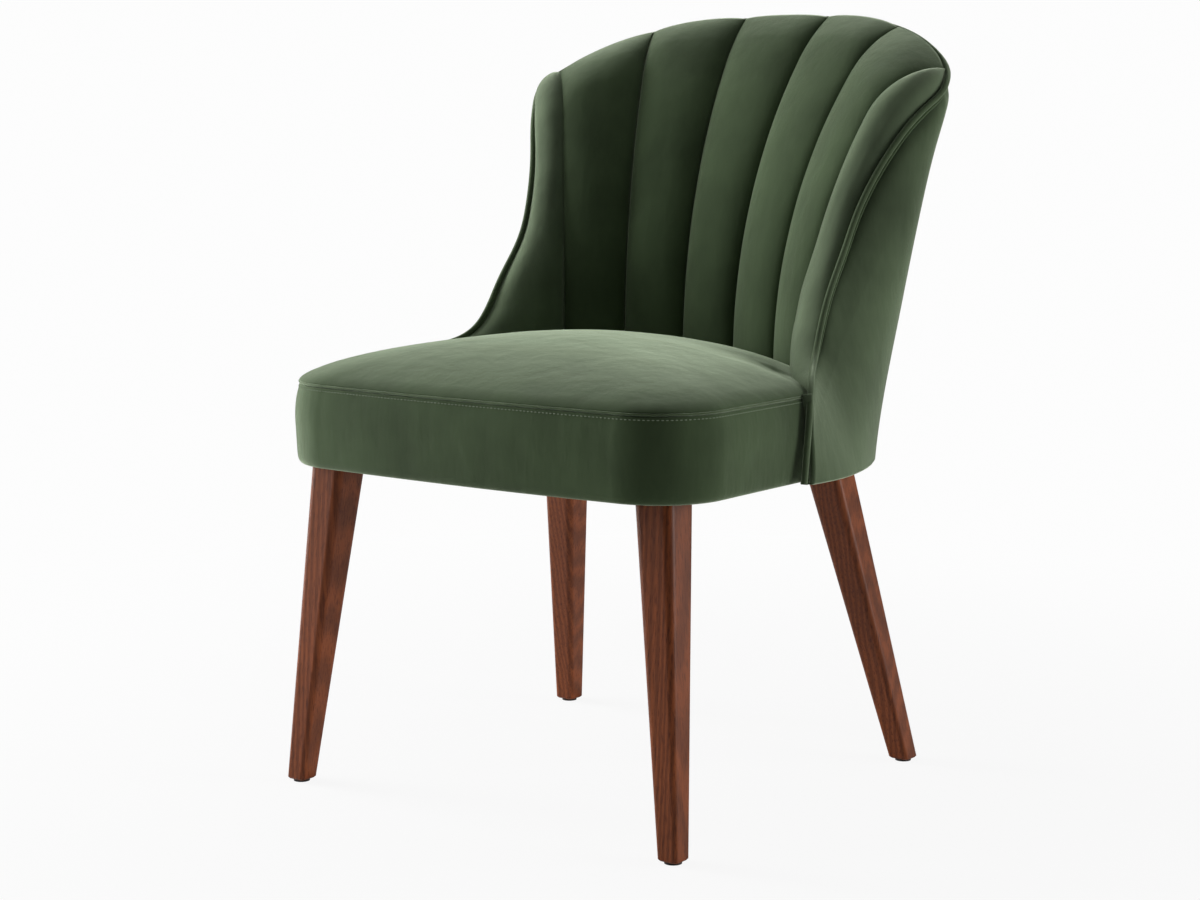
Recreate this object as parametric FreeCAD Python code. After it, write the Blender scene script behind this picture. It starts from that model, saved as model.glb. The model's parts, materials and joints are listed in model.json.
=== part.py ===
import FreeCAD, Part
import math
import os
from FreeCAD import Vector

os.makedirs("parts", exist_ok=True)

# An upholstered dining chair with a channelled barrel back, in millimetres.
# X runs across the seat, the sitter faces -Y, Z is up, and the origin is on the floor under the middle.
# Right is +X, as seen from the front.

# Whole chair, each height counted from the seat's underside
seat_bottom = 357.0
band_height = 89.0
crown_rise = 55.0
back_rise = 491.0
clearance = 0.3
cloth = 1.6
overrun = 50.0

# Seat plan and seat box
side_lap = 11.0
seat_corner_radius = 79.0
front_bow = 6.0
band_bulge = 3.0
band_tuck = 4.0
edge_wrap = 9.0
waist_offset = 29.0
seat_rear_angle = 71.0
rail_height = 66.0
rail_width = 22.0
rail_rear_angle = 60.0
front_rail_reach = 84.0
rear_rail_reach = 62.0
block_leg = 168.0
block_height = 44.0
strap_width = 50.0
strap_thickness = 1.5
strap_margin = 4.0
strap_columns = 4
strap_rows = 3
strap_pitch = 88.0
seat_piping_radius = 1.5
band_offset = 39.0
crown_draw_share = 0.75
crown_steps = 9
crown_turn = 10.0
dust_cover_thickness = 0.8
dust_cover_margin = 6.0

# Legs: where the section's centre is under the seat, how far the foot splays from there, and the section's sides
front_top_inset = 53.0
front_top_setback = 61.9
front_splay_x = 35.1
front_splay_y = 31.0
rear_top_angle = 38.823
rear_top_share = 1.1215
rear_splay_x = 59.1
rear_splay_y = 83.1
front_foot_side = 24.6
front_top_side = 45.4
rear_foot_side = 25.4
rear_top_side = 44.2
leg_arris_share = 0.2
foot_chamfer = 1.6
glide_radius = 9.0
glide_height = 3.0
glide_pin_radius = 1.5
glide_pin_length = 12.0
stud_radius = 4.0
stud_in_leg = 38.0
stud_in_post = 40.0
stud_end = 3.0
nut_height = 6.5
nut_across = 13.0
washer_radius = 8.0
washer_height = 1.6

# Back: the inner face turns about an upright axis and leans out along one large arc
axis_setback = 197.0
barrel_radius = 259.0
lean_radius = 575.0
lean_lift = 98.0
roll_height = 50.0
roll_reach = 54.06
rim_fall_share = 0.5783
channel_thickness = 16.0
channel_rim = 6.0
channel_crown = 9.0
rim_crown_share = 0.25
wing_crown = 13.0
seam_gap = 0.4
seam_angles = (7.8, 23.7, 39.4)
post_angle = 34.0
panel_thickness = 5.0
panel_lift = 8.0
crest_thickness = 12.0
crest_height = 45.0
outer_pad = 6.0
outer_cloth = 1.4
frame_cut = 18.0
frame_gap = 1.2
rim_depth_share = 0.25
welt_radius = 3.9
bend_share = 0.48
edge_share = 0.2
edge_drop = 13.0
welt_slack = 1.9
corner_push = 0.25

# Across one channel: how far along it, and how full it is there
channel_shares = ((0.0, 0.0), (0.1, 0.46), (0.28, 0.87), (0.5, 1.0), (0.72, 0.87), (0.9, 0.46), (1.0, 0.0))

# Down the side band: height share above the seat bottom, and share of the bulge less the tuck
band_shares = ((0.0, -1.0), (0.06, -0.3), (0.5, 1.0), (0.97, 0.1), (1.0, 0.0))

# Edge of one wing from its foot to the top corner: angle, share of the way from the barrel to the rim's radius, share
# of the back's height; then where the outer cover below that place ends, as an angle and a share of the barrel's
# radius, how far it stands off the straight line, and how full the wing's padding is
wing_shares = (
    (85.6, 0.1408, 0.143, 87.0, 1.108, 2.0, 0.0),
    (78.4, 0.0908, 0.204, 79.0, 1.151, 5.0, 0.1),
    (64.0, 0.0076, 0.250, 69.5, 1.189, 10.0, 0.4),
    (55.0, 0.0681, 0.372, 62.0, 1.212, 16.0, 0.7),
    (49.9, 0.1574, 0.468, 56.5, 1.236, 20.0, 0.9),
    (46.9, 0.2694, 0.562, 52.5, 1.244, 20.0, 1.0),
    (45.6, 0.4087, 0.659, 49.5, 1.247, 20.0, 1.0),
    (44.5, 0.6782, 0.765, 46.0, 1.251, 12.0, 1.0),
    (43.2, 0.8643, 0.827, 42.5, 1.255, -3.0, 0.8),
    (41.2, 0.9567, 0.858, 39.4, 1.255, -6.0, 0.5),
    (39.9, 0.9870, 0.868, 38.0, 1.250, -8.0, 0.3),
)
# The same down the rear: angle, bottom radius share, stand-off
rear_shares = ((36.0, 1.24, -10.0), (28.0, 1.19, -10.0), (19.0, 1.147, -10.0), (9.5, 1.118, -10.0), (0.0, 1.108, -10.0))

# The rows of the wing table that the cover under the seat passes
under_shares = wing_shares[1:3] + wing_shares[4::3]

# Across the boards of the back, from its left post to its right
board_shares = (-1.0, -0.67, -0.33, 0.0, 0.33, 0.67, 1.0)

# Section of one upright at five heights: height share, then an angle and a share of the way from the barrel to the
# rim's radius for each of its corners
upright_shares = (
    (0.0, (54.0, 0.1287), (54.0, 0.2952), (34.0, 0.2952), (34.0, 0.1362)),
    (0.19, (52.5, 0.1514), (52.0, 0.3557), (34.0, 0.3709), (34.0, 0.1514)),
    (0.385, (49.0, 0.2044), (48.5, 0.4541), (34.0, 0.5071), (34.0, 0.2044)),
    (0.58, (45.0, 0.3784), (44.2, 0.6055), (34.0, 0.6433), (34.0, 0.3027)),
    (0.735, (43.2, 0.6055), (42.6, 0.7569), (34.0, 0.7796), (34.0, 0.4995)),
)

# The block under each wing, beside the seat's rail, given in the same way
wing_base_shares = (
    (0.0, (81.2, -0.0151), (82.0, 0.1514), (66.0, 0.2498), (54.6, 0.3179), (54.6, 0.0000)),
    (0.17, (81.2, -0.0151), (82.0, 0.1514), (66.0, 0.2119), (54.6, 0.3179), (54.6, 0.0000)),
)

seat_half_width = barrel_radius + side_lap
seat_seam = seat_bottom + band_height
seat_crown = seat_seam + crown_rise
lean_start = seat_bottom + lean_lift
welt_top = seat_bottom + back_rise
top_rim = welt_top - welt_radius
back_height = top_rim - seat_bottom
lean_turn = math.asin((top_rim + channel_rim / 2 - roll_height - lean_start) / lean_radius)
overhang = lean_radius * (1 - math.cos(lean_turn)) + roll_reach + welt_radius + clearance
rim_radius = barrel_radius + overhang
overall_depth = axis_setback + rim_radius + welt_radius
front_y = -overall_depth / 2
rear_y = overall_depth / 2
axis_y = front_y + axis_setback


def polar(angle, radius, z):
    """A point about the barrel's axis, at an angle in degrees from straight back."""
    turn = math.radians(angle)
    return Vector(radius * math.sin(turn), axis_y + radius * math.cos(turn), z)


def line(a, b):
    return Part.LineSegment(a, b).toShape()


def arc(a, b, c):
    return Part.Arc(a, b, c).toShape()


def loft(wires, ruled=False):
    return Part.makeLoft(wires, True, ruled)


def flipped(p):
    return Vector(-p.x, p.y, p.z)


def mirrored(shape):
    return shape.mirror(Vector(0, 0, 0), Vector(1, 0, 0))


def save(name, shape):
    if not shape.isValid():
        print("not valid:", name)
    shape.exportStep("parts/" + name + ".step")
    print(name, len(shape.Solids), round(shape.Volume))


# Legs and feet


def rounded_square(centre, side):
    """A level square with rounded corners, as a wire."""
    half = side / 2
    r = side * leg_arris_share
    straight = half - r
    bend = r * (1 - math.sqrt(0.5))
    edges = []
    for turn in range(4):
        ring = FreeCAD.Rotation(Vector(0, 0, 1), 90 * turn)
        points = [Vector(half, -straight, 0), Vector(half, straight, 0), Vector(half - bend, half - bend, 0),
                  Vector(straight, half, 0)]
        a, b, c, d = [centre + ring.multVec(p) for p in points]
        edges += [line(a, b), arc(b, c, d)]
    return Part.Wire(edges)


def leg(foot, top, foot_side, top_side):
    """A straight tapered leg with a small chamfer round its foot, bored for its stud and its glide's pin."""
    rise = top.z - glide_height
    chamfer_share = foot_chamfer / rise
    low = foot + (top - foot) * (glide_height / top.z)
    span = top - low
    narrow = foot_side - 2 * foot_chamfer
    sections = [rounded_square(low, narrow), rounded_square(low + span * chamfer_share, foot_side),
                rounded_square(top, top_side)]
    body = loft(sections, True)
    stud_hole = rod(stud_radius + clearance, top, -(stud_in_leg + clearance))
    pin_hole = rod(glide_pin_radius + clearance, low, glide_pin_length + clearance)
    return body.cut(stud_hole).cut(pin_hole)


def rod(radius, place, length):
    """An upright cylinder from a place, downwards where the length is negative."""
    up = Vector(0, 0, math.copysign(1, length))
    return Part.makeCylinder(radius, abs(length), place, up)


def glide(foot, top):
    """A disc with a pin, driven into the foot."""
    low = foot + (top - foot) * (glide_height / top.z)
    place = Vector(low.x, low.y, 0)
    return rod(glide_radius, place, glide_height).fuse(rod(glide_pin_radius, place, glide_height + glide_pin_length))


def hexagon_nut(place):
    """A nut with a bore for its stud, standing on a place."""
    turns = [math.radians(60 * i) for i in range(7)]
    corner = nut_across / 2 / math.cos(turns[1] / 2)
    points = [place + Vector(corner * math.cos(turn), corner * math.sin(turn), 0) for turn in turns]
    return prism(Part.makePolygon(points), nut_height).cut(rod(stud_radius + clearance, place, nut_height))


def washer(place):
    return rod(washer_radius, place, washer_height).cut(rod(stud_radius + clearance, place, washer_height))


def prism(outline, height):
    return Part.Face(outline).extrude(Vector(0, 0, height))


leg_top = seat_bottom - clearance
front_top = Vector(seat_half_width - front_top_inset, front_y + front_top_setback, leg_top)
front_foot = front_top + Vector(front_splay_x, -front_splay_y, -leg_top)
rear_top = polar(rear_top_angle, rear_top_share * barrel_radius, leg_top)
rear_foot = rear_top + Vector(rear_splay_x, rear_splay_y, -leg_top)
front_leg = leg(front_foot, front_top, front_foot_side, front_top_side)
rear_leg = leg(rear_foot, rear_top, rear_foot_side, rear_top_side)
save("front_right_leg", front_leg)
save("front_left_leg", mirrored(front_leg))
save("rear_right_leg", rear_leg)
save("rear_left_leg", mirrored(rear_leg))
glides = [glide(front_foot, front_top), glide(rear_foot, rear_top)]
save("foot_glides", Part.makeCompound(glides + [mirrored(g) for g in glides]))

# Seat box


def plan(half_width, front, corner, waist, rear_radius, rear_angle, z):
    """The seat's outline at one height: bowed front, round corners, straight sides, and a rear struck from the axis."""
    side_front = front + corner
    tangent = half_width - corner
    bend = corner * (1 - math.sqrt(0.5))
    rear = polar(rear_angle, rear_radius, z)
    middle = polar(0, rear_radius, z)
    bow = Vector(0, front - front_bow, z)
    right = [Vector(tangent, front, z), Vector(half_width - bend, front + bend, z), Vector(half_width, side_front, z),
             Vector(half_width, waist, z), rear]
    left = [flipped(p) for p in right]
    return Part.Wire([
        arc(left[0], bow, right[0]),
        arc(right[0], right[1], right[2]),
        line(right[2], right[3]),
        line(right[3], right[4]),
        arc(right[4], middle, left[4]),
        line(left[4], left[3]),
        line(left[3], left[2]),
        arc(left[2], left[1], left[0]),
    ])


seat_front = front_y + band_bulge + front_bow
seat_waist = axis_y + waist_offset
band_end = axis_y + band_offset
seat_rear_radius = barrel_radius - channel_crown - clearance


def seat_plan(inset, z):
    """The cushion's outline, drawn in by an inset all round."""
    return plan(seat_half_width - inset, seat_front + inset, seat_corner_radius - inset, seat_waist - inset,
                seat_rear_radius - inset, seat_rear_angle, z)


def band_plan(inset, z):
    """The upholstered box's outline, with sides that run straight on into the wings."""
    return plan(seat_half_width - inset, seat_front + inset, seat_corner_radius - inset, band_end,
                seat_rear_radius - inset, rail_rear_angle, z)


def rail_plan(inset, z):
    """The frame's outline: inside the box's padding at the front and sides, and under the back at the rear."""
    skin = inset + edge_wrap + cloth + 2 * clearance
    rear = barrel_radius + channel_thickness - inset
    return plan(seat_half_width - skin, seat_front + skin, seat_corner_radius - skin, band_end,
                rear, rail_rear_angle, z)


def front_run(outline):
    """The edges of an outline from its left side round the front to its right side."""
    return outline.Edges[-2:] + outline.Edges[:3]


def slab(x0, x1, y0, y1, z0, z1):
    return Part.makeBox(x1 - x0, y1 - y0, z1 - z0, Vector(x0, y0, z0))


rail_top = seat_bottom + rail_height
ring = prism(rail_plan(0, seat_bottom), rail_height).cut(prism(rail_plan(rail_width, seat_bottom), rail_height))
front_cut = front_y + front_rail_reach + edge_wrap
rear_cut = axis_y + barrel_radius - rear_rail_reach
wide = seat_half_width + overrun
ring_bottom = seat_bottom - overrun
ring_top = rail_top + overrun
front_rail = ring.common(slab(-wide, wide, front_y - overrun, front_cut - clearance, ring_bottom, ring_top))
side_rail = ring.common(slab(0, wide, front_cut, rear_cut, ring_bottom, ring_top))
rear_rail = ring.common(slab(-wide, wide, rear_cut + clearance, rear_y, ring_bottom, ring_top))
save("front_rail", front_rail)
save("right_rail", side_rail)
save("left_rail", mirrored(side_rail))
save("rear_rail", rear_rail)

# Corner blocks, and the studs, washers and nuts that hold the legs
block_corner = Vector(seat_half_width, seat_front, 0)
block_inside = prism(rail_plan(rail_width + clearance, seat_bottom), block_height)
wedge = Part.makePolygon([block_corner, block_corner - Vector(block_leg, 0, 0),
                          block_corner + Vector(0, block_leg, 0), block_corner])
corner_block = block_inside.common(prism(wedge, welt_top))
corner_block = corner_block.cut(rod(stud_radius + clearance, front_top, block_height + clearance))
save("front_right_corner_block", corner_block)
save("front_left_corner_block", mirrored(corner_block))

block_top = front_top + Vector(0, 0, clearance + block_height)
washer_place = block_top + Vector(0, 0, clearance)
nut_place = washer_place + Vector(0, 0, washer_height + clearance)
stud_tip = nut_place + Vector(0, 0, nut_height + stud_end)
front_stud_base = front_top - Vector(0, 0, stud_in_leg)
front_stud = rod(stud_radius, front_stud_base, (stud_tip - front_stud_base).Length)
rear_stud = rod(stud_radius, rear_top - Vector(0, 0, stud_in_leg), stud_in_leg + stud_in_post)
nut = hexagon_nut(nut_place)
disc = washer(washer_place)
save("leg_studs", Part.makeCompound([front_stud, rear_stud, mirrored(front_stud), mirrored(rear_stud)]))
save("leg_nuts", Part.makeCompound([nut, mirrored(nut)]))
save("leg_washers", Part.makeCompound([disc, mirrored(disc)]))

# Webbing, padding and cover of the seat
strap_field = rail_plan(strap_margin, rail_top + clearance)


def strap(across, x, y, z):
    """One strap, cut to the frame's outline; it runs across the seat or from front to back."""
    half = strap_width / 2
    if across:
        band = slab(-wide, wide, y - half, y + half, z, z + strap_thickness)
    else:
        band = slab(x - half, x + half, -overall_depth, overall_depth, z, z + strap_thickness)
    return prism(strap_field, rail_height).common(band)


def spread(count):
    """Places a pitch apart, centred on zero."""
    return [(i - (count - 1) / 2) * strap_pitch for i in range(count)]


long_z = rail_top + clearance
cross_z = long_z + strap_thickness + clearance
long_run = [strap(False, place, 0, long_z) for place in spread(strap_columns)]
cross_run = [strap(True, 0, axis_y + place, cross_z) for place in spread(strap_rows)]
save("long_webbing", Part.makeCompound(long_run))
save("cross_webbing", Part.makeCompound(cross_run))


def crown(skin):
    """The domed top of the cushion, drawn in by a skin all round and on top."""
    base = seat_plan(skin, crown_base)
    rise = seat_crown - skin - crown_base
    sections = []
    for step in range(crown_steps):
        turn = math.radians(step * crown_turn)
        section = base.scaled(1 - crown_draw_share * (1 - math.cos(turn)), crown_centre)
        section.translate(Vector(0, 0, math.sin(turn) * rise))
        sections.append(section)
    return loft(sections)


def band(skin, low, high):
    """The bulging upright side of the seat between two heights, drawn in by a skin."""
    sections = []
    for height, fullness in band_shares:
        swell = band_bulge if fullness > 0 else band_tuck
        sections.append(band_plan(skin - fullness * swell, low + height * (high - low)))
    return loft(sections)


crown_base = seat_seam + seat_piping_radius + clearance
crown_centre = Vector(0, (seat_front + axis_y + seat_rear_radius) / 2, crown_base)
foam_base = cross_z + strap_thickness + clearance
foam_skin = cloth + clearance
foam_foot = prism(seat_plan(foam_skin, foam_base), crown_base - foam_base)
save("seat_foam", foam_foot.fuse(crown(foam_skin)).removeSplitter())
save("seat_top_cover", crown(0).cut(crown(cloth)))

band_top = seat_seam - seat_piping_radius - clearance
front_part = slab(-wide, wide, front_y - overrun, band_end - clearance, ring_bottom, ring_top)
band_inside = band(cloth, seat_bottom, band_top)
save("seat_band", band(0, seat_bottom, band_top).cut(band_inside).common(front_part))
frame_room = prism(rail_plan(-clearance, ring_bottom), ring_top - ring_bottom)
pad_part = slab(-wide, wide, front_y - overrun, band_end - clearance, ring_bottom, foam_base - clearance)
edge_pad = band(foam_skin, seat_bottom, band_top).cut(frame_room).common(pad_part)
save("seat_edge_pad", edge_pad)
piping_route = Part.Wire(front_run(seat_plan(0, seat_seam)))
piping_start = piping_route.OrderedVertexes[0].Point
piping_ring = Part.Wire(Part.makeCircle(seat_piping_radius, piping_start, Vector(0, 1, 0)))
save("seat_piping", piping_route.makePipeShell([piping_ring], True, False))

dust_z = seat_bottom - clearance - dust_cover_thickness
under_rear = [polar(row[3], row[4] * barrel_radius - dust_cover_margin, dust_z) for row in under_shares]
under_left = [flipped(p) for p in under_rear]
under_middle = polar(0, rear_shares[-1][1] * barrel_radius - dust_cover_margin, dust_z)
front_edges = front_run(rail_plan(dust_cover_margin, dust_z))
dust_outline = Part.Wire(front_edges + [
    line(front_edges[-1].Vertexes[1].Point, under_rear[0]),
    arc(under_rear[0], under_rear[1], under_rear[2]),
    arc(under_rear[2], under_rear[3], under_rear[4]),
    arc(under_rear[4], under_middle, under_left[4]),
    arc(under_left[4], under_left[3], under_left[2]),
    arc(under_left[2], under_left[1], under_left[0]),
    line(under_left[0], front_edges[0].Vertexes[0].Point),
])
dust_cover = prism(dust_outline, dust_cover_thickness)
for top, side in ((front_top, front_top_side), (rear_top, rear_top_side)):
    reach = side / 2 + cloth
    notch = slab(top.x - reach, top.x + reach, top.y - reach, top.y + reach, ring_bottom, ring_top)
    dust_cover = dust_cover.cut(notch).cut(mirrored(notch))
save("dust_cover", dust_cover)

# Inner back: channels stuffed between stitched seams


def rim_height(angle):
    """Height of the top edge, which lies in one sloping plane."""
    return top_rim - rim_fall_share * back_height * (1 - math.cos(math.radians(angle)))


def roll_arc(angle):
    """The roll over the top at an angle: its centre, its radius, and the turns where it starts and ends."""
    end_r = rim_radius - welt_radius - clearance
    end_z = rim_height(angle) + channel_rim / 2
    start = math.asin((end_z - roll_height - lean_start) / lean_radius)
    start_r = barrel_radius + lean_radius * (1 - math.cos(start))
    dr = end_r - start_r
    radius = (dr ** 2 + roll_height ** 2) / (2 * (dr * math.cos(start) - roll_height * math.sin(start)))
    centre_r = start_r + radius * math.cos(start)
    centre_z = end_z - roll_height - radius * math.sin(start)
    end = math.atan2(end_z - centre_z, centre_r - end_r)
    return centre_r, centre_z, radius, start, end


def turned(angle, centre_r, centre_z, radius, turn):
    return polar(angle, centre_r - radius * math.cos(turn), centre_z + radius * math.sin(turn))


def lean_points(angle, offset, low, end):
    """Three points up the leaning face from a height to a turn, moved towards the sitter by an offset."""
    start = math.asin((low - lean_start) / lean_radius)
    turns = (start, (start + end) / 2, end)
    return [turned(angle, barrel_radius + lean_radius, lean_start, lean_radius + offset, turn) for turn in turns]


def roll_points(angle, offset, rim_offset):
    """Three points over the roll, moved by an offset at its start and straight up by another at the rim."""
    centre_r, centre_z, radius, start, end = roll_arc(angle)
    first = turned(angle, centre_r, centre_z, radius + offset, start)
    middle = turned(angle, centre_r, centre_z, radius + (offset + rim_offset) / 2, (start + end) / 2)
    last = turned(angle, centre_r, centre_z, radius, end)
    return [first, middle, last + Vector(0, 0, rim_offset)]


def channel_section(angle, crown_height):
    """Upright section through a channel: face, roll, edge at the rim, and the back of the stuffing."""
    start = roll_arc(angle)[3]
    face = lean_points(angle, crown_height, lean_start, start)
    roll = roll_points(angle, crown_height, crown_height * rim_crown_share)
    back = lean_points(angle, -channel_thickness, lean_start, start)
    back_roll = roll_points(angle, -channel_thickness, -channel_rim)
    drop = Vector(0, 0, foam_base - lean_start)
    return Part.Wire([line(face[0] + drop, face[0]), arc(*face), arc(*roll), line(roll[2], back_roll[2]),
                      arc(*back_roll[::-1]), arc(*back[::-1]), line(back[0], back[0] + drop),
                      line(back[0] + drop, face[0] + drop)])


def channel(low_angle, high_angle):
    gap = math.degrees(seam_gap / 2 / barrel_radius)
    span = high_angle - low_angle - 2 * gap
    return loft([channel_section(low_angle + gap + along * span, channel_crown * full)
                 for along, full in channel_shares])


seam_1, seam_2, seam_3 = seam_angles


def wing_rim(row):
    return polar(row[0], barrel_radius + row[1] * overhang, seat_bottom + row[2] * back_height)


def seam_radius(z):
    """Radius of the face at the outermost seam."""
    centre_r, centre_z, radius, start, end = roll_arc(seam_3)
    if z > centre_z + radius * math.sin(start):
        return centre_r - math.sqrt(radius ** 2 - (z - centre_z) ** 2)
    return barrel_radius + lean_radius - math.sqrt(lean_radius ** 2 - (z - lean_start) ** 2)


def wing_section(row):
    """Level section through the wing: a padded face from the outermost seam to the rim."""
    rim = wing_rim(row)
    radius = seam_radius(rim.z)
    angle = seam_3 + math.degrees(seam_gap / 2 / barrel_radius)
    seam = polar(angle, radius, rim.z)
    seam_back = polar(angle, radius + channel_thickness, rim.z)
    along = (seam - rim).normalize()
    out = Vector(along.y, -along.x, 0)
    if out.dot(Vector(rim.x, rim.y - axis_y, 0)) > 0:
        out = -out
    edge = rim + along * (welt_radius + clearance)
    front = edge + out * (channel_rim / 2)
    back = edge - out * (channel_rim / 2)
    middle = (seam + front) / 2 + out * (wing_crown * row[6])
    return Part.Wire([arc(seam, middle, front), line(front, back), line(back, seam_back), line(seam_back, seam)])


# Stations round the back: a place on the rim, the cover's foot below it, and the cover's stand-off between them
right_stations = [(wing_rim(row), polar(row[3], row[4] * barrel_radius, seat_bottom), row[5]) for row in wing_shares]
right_stations += [(polar(angle, rim_radius, rim_height(angle)), polar(angle, foot * barrel_radius, seat_bottom), off)
                   for angle, foot, off in rear_shares]

# Piping: a cord in a cloth tube that follows the rim from one wing's foot round the top to the other


def rounded_route(points):
    """Straight runs joined by tangent arcs, each as large as its two runs allow."""
    edges = []
    last = points[0]
    for before, corner, after in zip(points, points[1:], points[2:]):
        back = before - corner
        ahead = after - corner
        reach = bend_share * min(back.Length, ahead.Length)
        back.normalize()
        ahead.normalize()
        half_turn = (math.pi - back.getAngle(ahead)) / 2
        start = corner + back * reach
        end = corner + ahead * reach
        radius = reach / math.tan(half_turn)
        inward = (back + ahead).normalize()
        middle = corner + inward * (radius / math.cos(half_turn) - radius)
        edges += [line(last, start), arc(start, middle, end)]
        last = end
    return edges + [line(last, points[-1])]


right_rim = [right_stations[0][1]] + [rim for rim, foot, off in right_stations]
rim_points = right_rim + [flipped(p) for p in right_rim[-2::-1]]
welt_points = [rim_points[0]]
for before, place, after in zip(rim_points, rim_points[1:], rim_points[2:]):
    along = (place - before).Length / ((place - before).Length + (after - place).Length)
    chord = before + (after - before) * along
    welt_points.append(place + (place - chord) * corner_push)
welt_points.append(rim_points[-1])
welt_edges = rounded_route(welt_points)
welt_start = (welt_points[1] - welt_points[0]).normalize()


def welt(radius):
    circle = Part.Wire(Part.makeCircle(radius, welt_points[0], welt_start))
    return Part.Wire(welt_edges).makePipeShell([circle], True, False)


save("back_piping", welt(welt_radius))
welt_room = welt(welt_radius + clearance)

save("channel_centre", channel(-seam_1, seam_1))
inner_channel = channel(seam_1, seam_2)
outer_channel = channel(seam_2, seam_3).cut(welt_room)
save("channel_inner_right", inner_channel)
save("channel_inner_left", mirrored(inner_channel))
save("channel_outer_right", outer_channel)
save("channel_outer_left", mirrored(outer_channel))
wing = loft([wing_section(row) for row in wing_shares[1:]]).cut(crown(-clearance)).cut(welt_room)
save("wing_right", wing)
save("wing_left", mirrored(wing))

# Outer back: a pad and its cover stretched from the rim down to the seat's underside
rim_first, foot_first, off_first = right_stations[0]
rim_next, foot_next, off_next = right_stations[1]
rim_edge = rim_first + (rim_next - rim_first) * edge_share - Vector(0, 0, edge_drop)
foot_edge = foot_first + (foot_next - foot_first) * edge_share
right_stations[0] = (rim_edge, foot_edge, off_first)
stations = right_stations + [(flipped(rim), flipped(foot), off) for rim, foot, off in right_stations[-2::-1]]


def across(i):
    """The rim's direction at one station crossed with the direction down to the cover's foot."""
    before = stations[max(i - 1, 0)][0]
    after = stations[min(i + 1, len(stations) - 1)][0]
    rim, foot, off = stations[i]
    return (after - before).normalize().cross((foot - rim).normalize())


def outward(i):
    """Level direction out of the cover at one station."""
    normal = across(i)
    normal.z = 0
    normal.normalize()
    foot = stations[i][1]
    return normal if normal.dot(Vector(foot.x, foot.y - axis_y, 0)) > 0 else -normal


def outer_point(i, down, depth, padding):
    """A point of the outer back: a share of the way down from the rim, and a depth and a padding under its face."""
    rim, foot, off = stations[i]
    drop = (welt_radius + welt_slack + depth + padding * rim_depth_share) / across(i).Length
    start = rim + (foot - rim).normalize() * drop
    fullness = rim_depth_share + (1 - rim_depth_share) * min(1, 2 * down)
    stand = off * 4 * down * (1 - down) - depth - padding * fullness
    return start + (foot - start) * down + outward(i) * stand


def outer_section(i, near, far, padding):
    face = [outer_point(i, down, near, 0) for down in (0, 0.5, 1)]
    inside = [outer_point(i, down, far, padding) for down in (1, 0.5, 0)]
    return Part.Wire([arc(*face), line(face[2], inside[0]), arc(*inside), line(inside[2], face[0])])


def outer_wrap(near, far, padding):
    """A layer between two depths under the cover's face; its padding thins towards the rim."""
    return loft([outer_section(i, near, far, padding) for i in range(len(stations))])


pad_near = outer_cloth + clearance
save("outer_back_cover", outer_wrap(0, outer_cloth, 0))
save("outer_back_pad", outer_wrap(pad_near, pad_near, outer_pad))
frame_skin = outer_wrap(-frame_cut, pad_near + frame_gap, outer_pad)

# Frame of the back: a bent panel, a crest rail, two posts and a block at the foot of each wing


def bent_section(angle, near, far, low_drop, high_drop):
    """Section through a board that follows the leaning face, from one drop under the roll to another."""
    turn = roll_arc(angle)[3]
    top = lean_start + lean_radius * math.sin(turn)
    low = top - low_drop
    high_turn = math.asin((top - high_drop - lean_start) / lean_radius)
    front = lean_points(angle, -near, low, high_turn)
    back = lean_points(angle, -far, low, high_turn)
    return Part.Wire([arc(*front), line(front[2], back[2]), arc(*back[::-1]), line(back[0], front[0])])


board_gap = math.degrees(clearance / barrel_radius)
board_angle = post_angle - board_gap
board_near = channel_thickness + clearance
board_turns = [board_angle * share for share in board_shares]


def panel_section(angle):
    """Section through the panel: upright behind the seat's rear rail, then leaning with the back."""
    turn = roll_arc(angle)[3]
    top = lean_start + lean_radius * math.sin(turn) - crest_height - clearance
    turn = math.asin((top - lean_start) / lean_radius)
    front = lean_points(angle, -board_near, lean_start, turn)
    back = lean_points(angle, -board_near - panel_thickness, lean_start, turn)
    drop = Vector(0, 0, seat_bottom + panel_lift - lean_start)
    return Part.Wire([line(front[0] + drop, front[0]), arc(*front), line(front[2], back[2]), arc(*back[::-1]),
                      line(back[0], back[0] + drop), line(back[0] + drop, front[0] + drop)])


save("back_panel", loft([panel_section(angle) for angle in board_turns]))
save("crest_rail", loft([bent_section(angle, board_near, board_near + crest_thickness, crest_height, 0)
                         for angle in board_turns]))


def level_section(height, corners):
    z = seat_bottom + height * back_height
    points = [polar(angle, barrel_radius + share * overhang, z) for angle, share in corners]
    return Part.makePolygon(points + points[:1])


upright = loft([level_section(row[0], row[1:]) for row in upright_shares], True)
upright = upright.cut(rod(stud_radius + clearance, rear_top, stud_in_post + 2 * clearance)).cut(frame_skin)
save("right_upright", upright)
save("left_upright", mirrored(upright))
wing_base = loft([level_section(row[0], row[1:]) for row in wing_base_shares], True)
cushion_room = prism(seat_plan(-clearance, foam_base - clearance), rail_height)
wing_base = wing_base.cut(frame_room).cut(cushion_room).cut(frame_skin)
save("right_wing_base", wing_base)
save("left_wing_base", mirrored(wing_base))
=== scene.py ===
import json
import math

import bmesh
import bpy
import numpy as np
from bpy.props import FloatProperty, FloatVectorProperty, IntProperty, PointerProperty
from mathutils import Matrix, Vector, kdtree, noise


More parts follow.
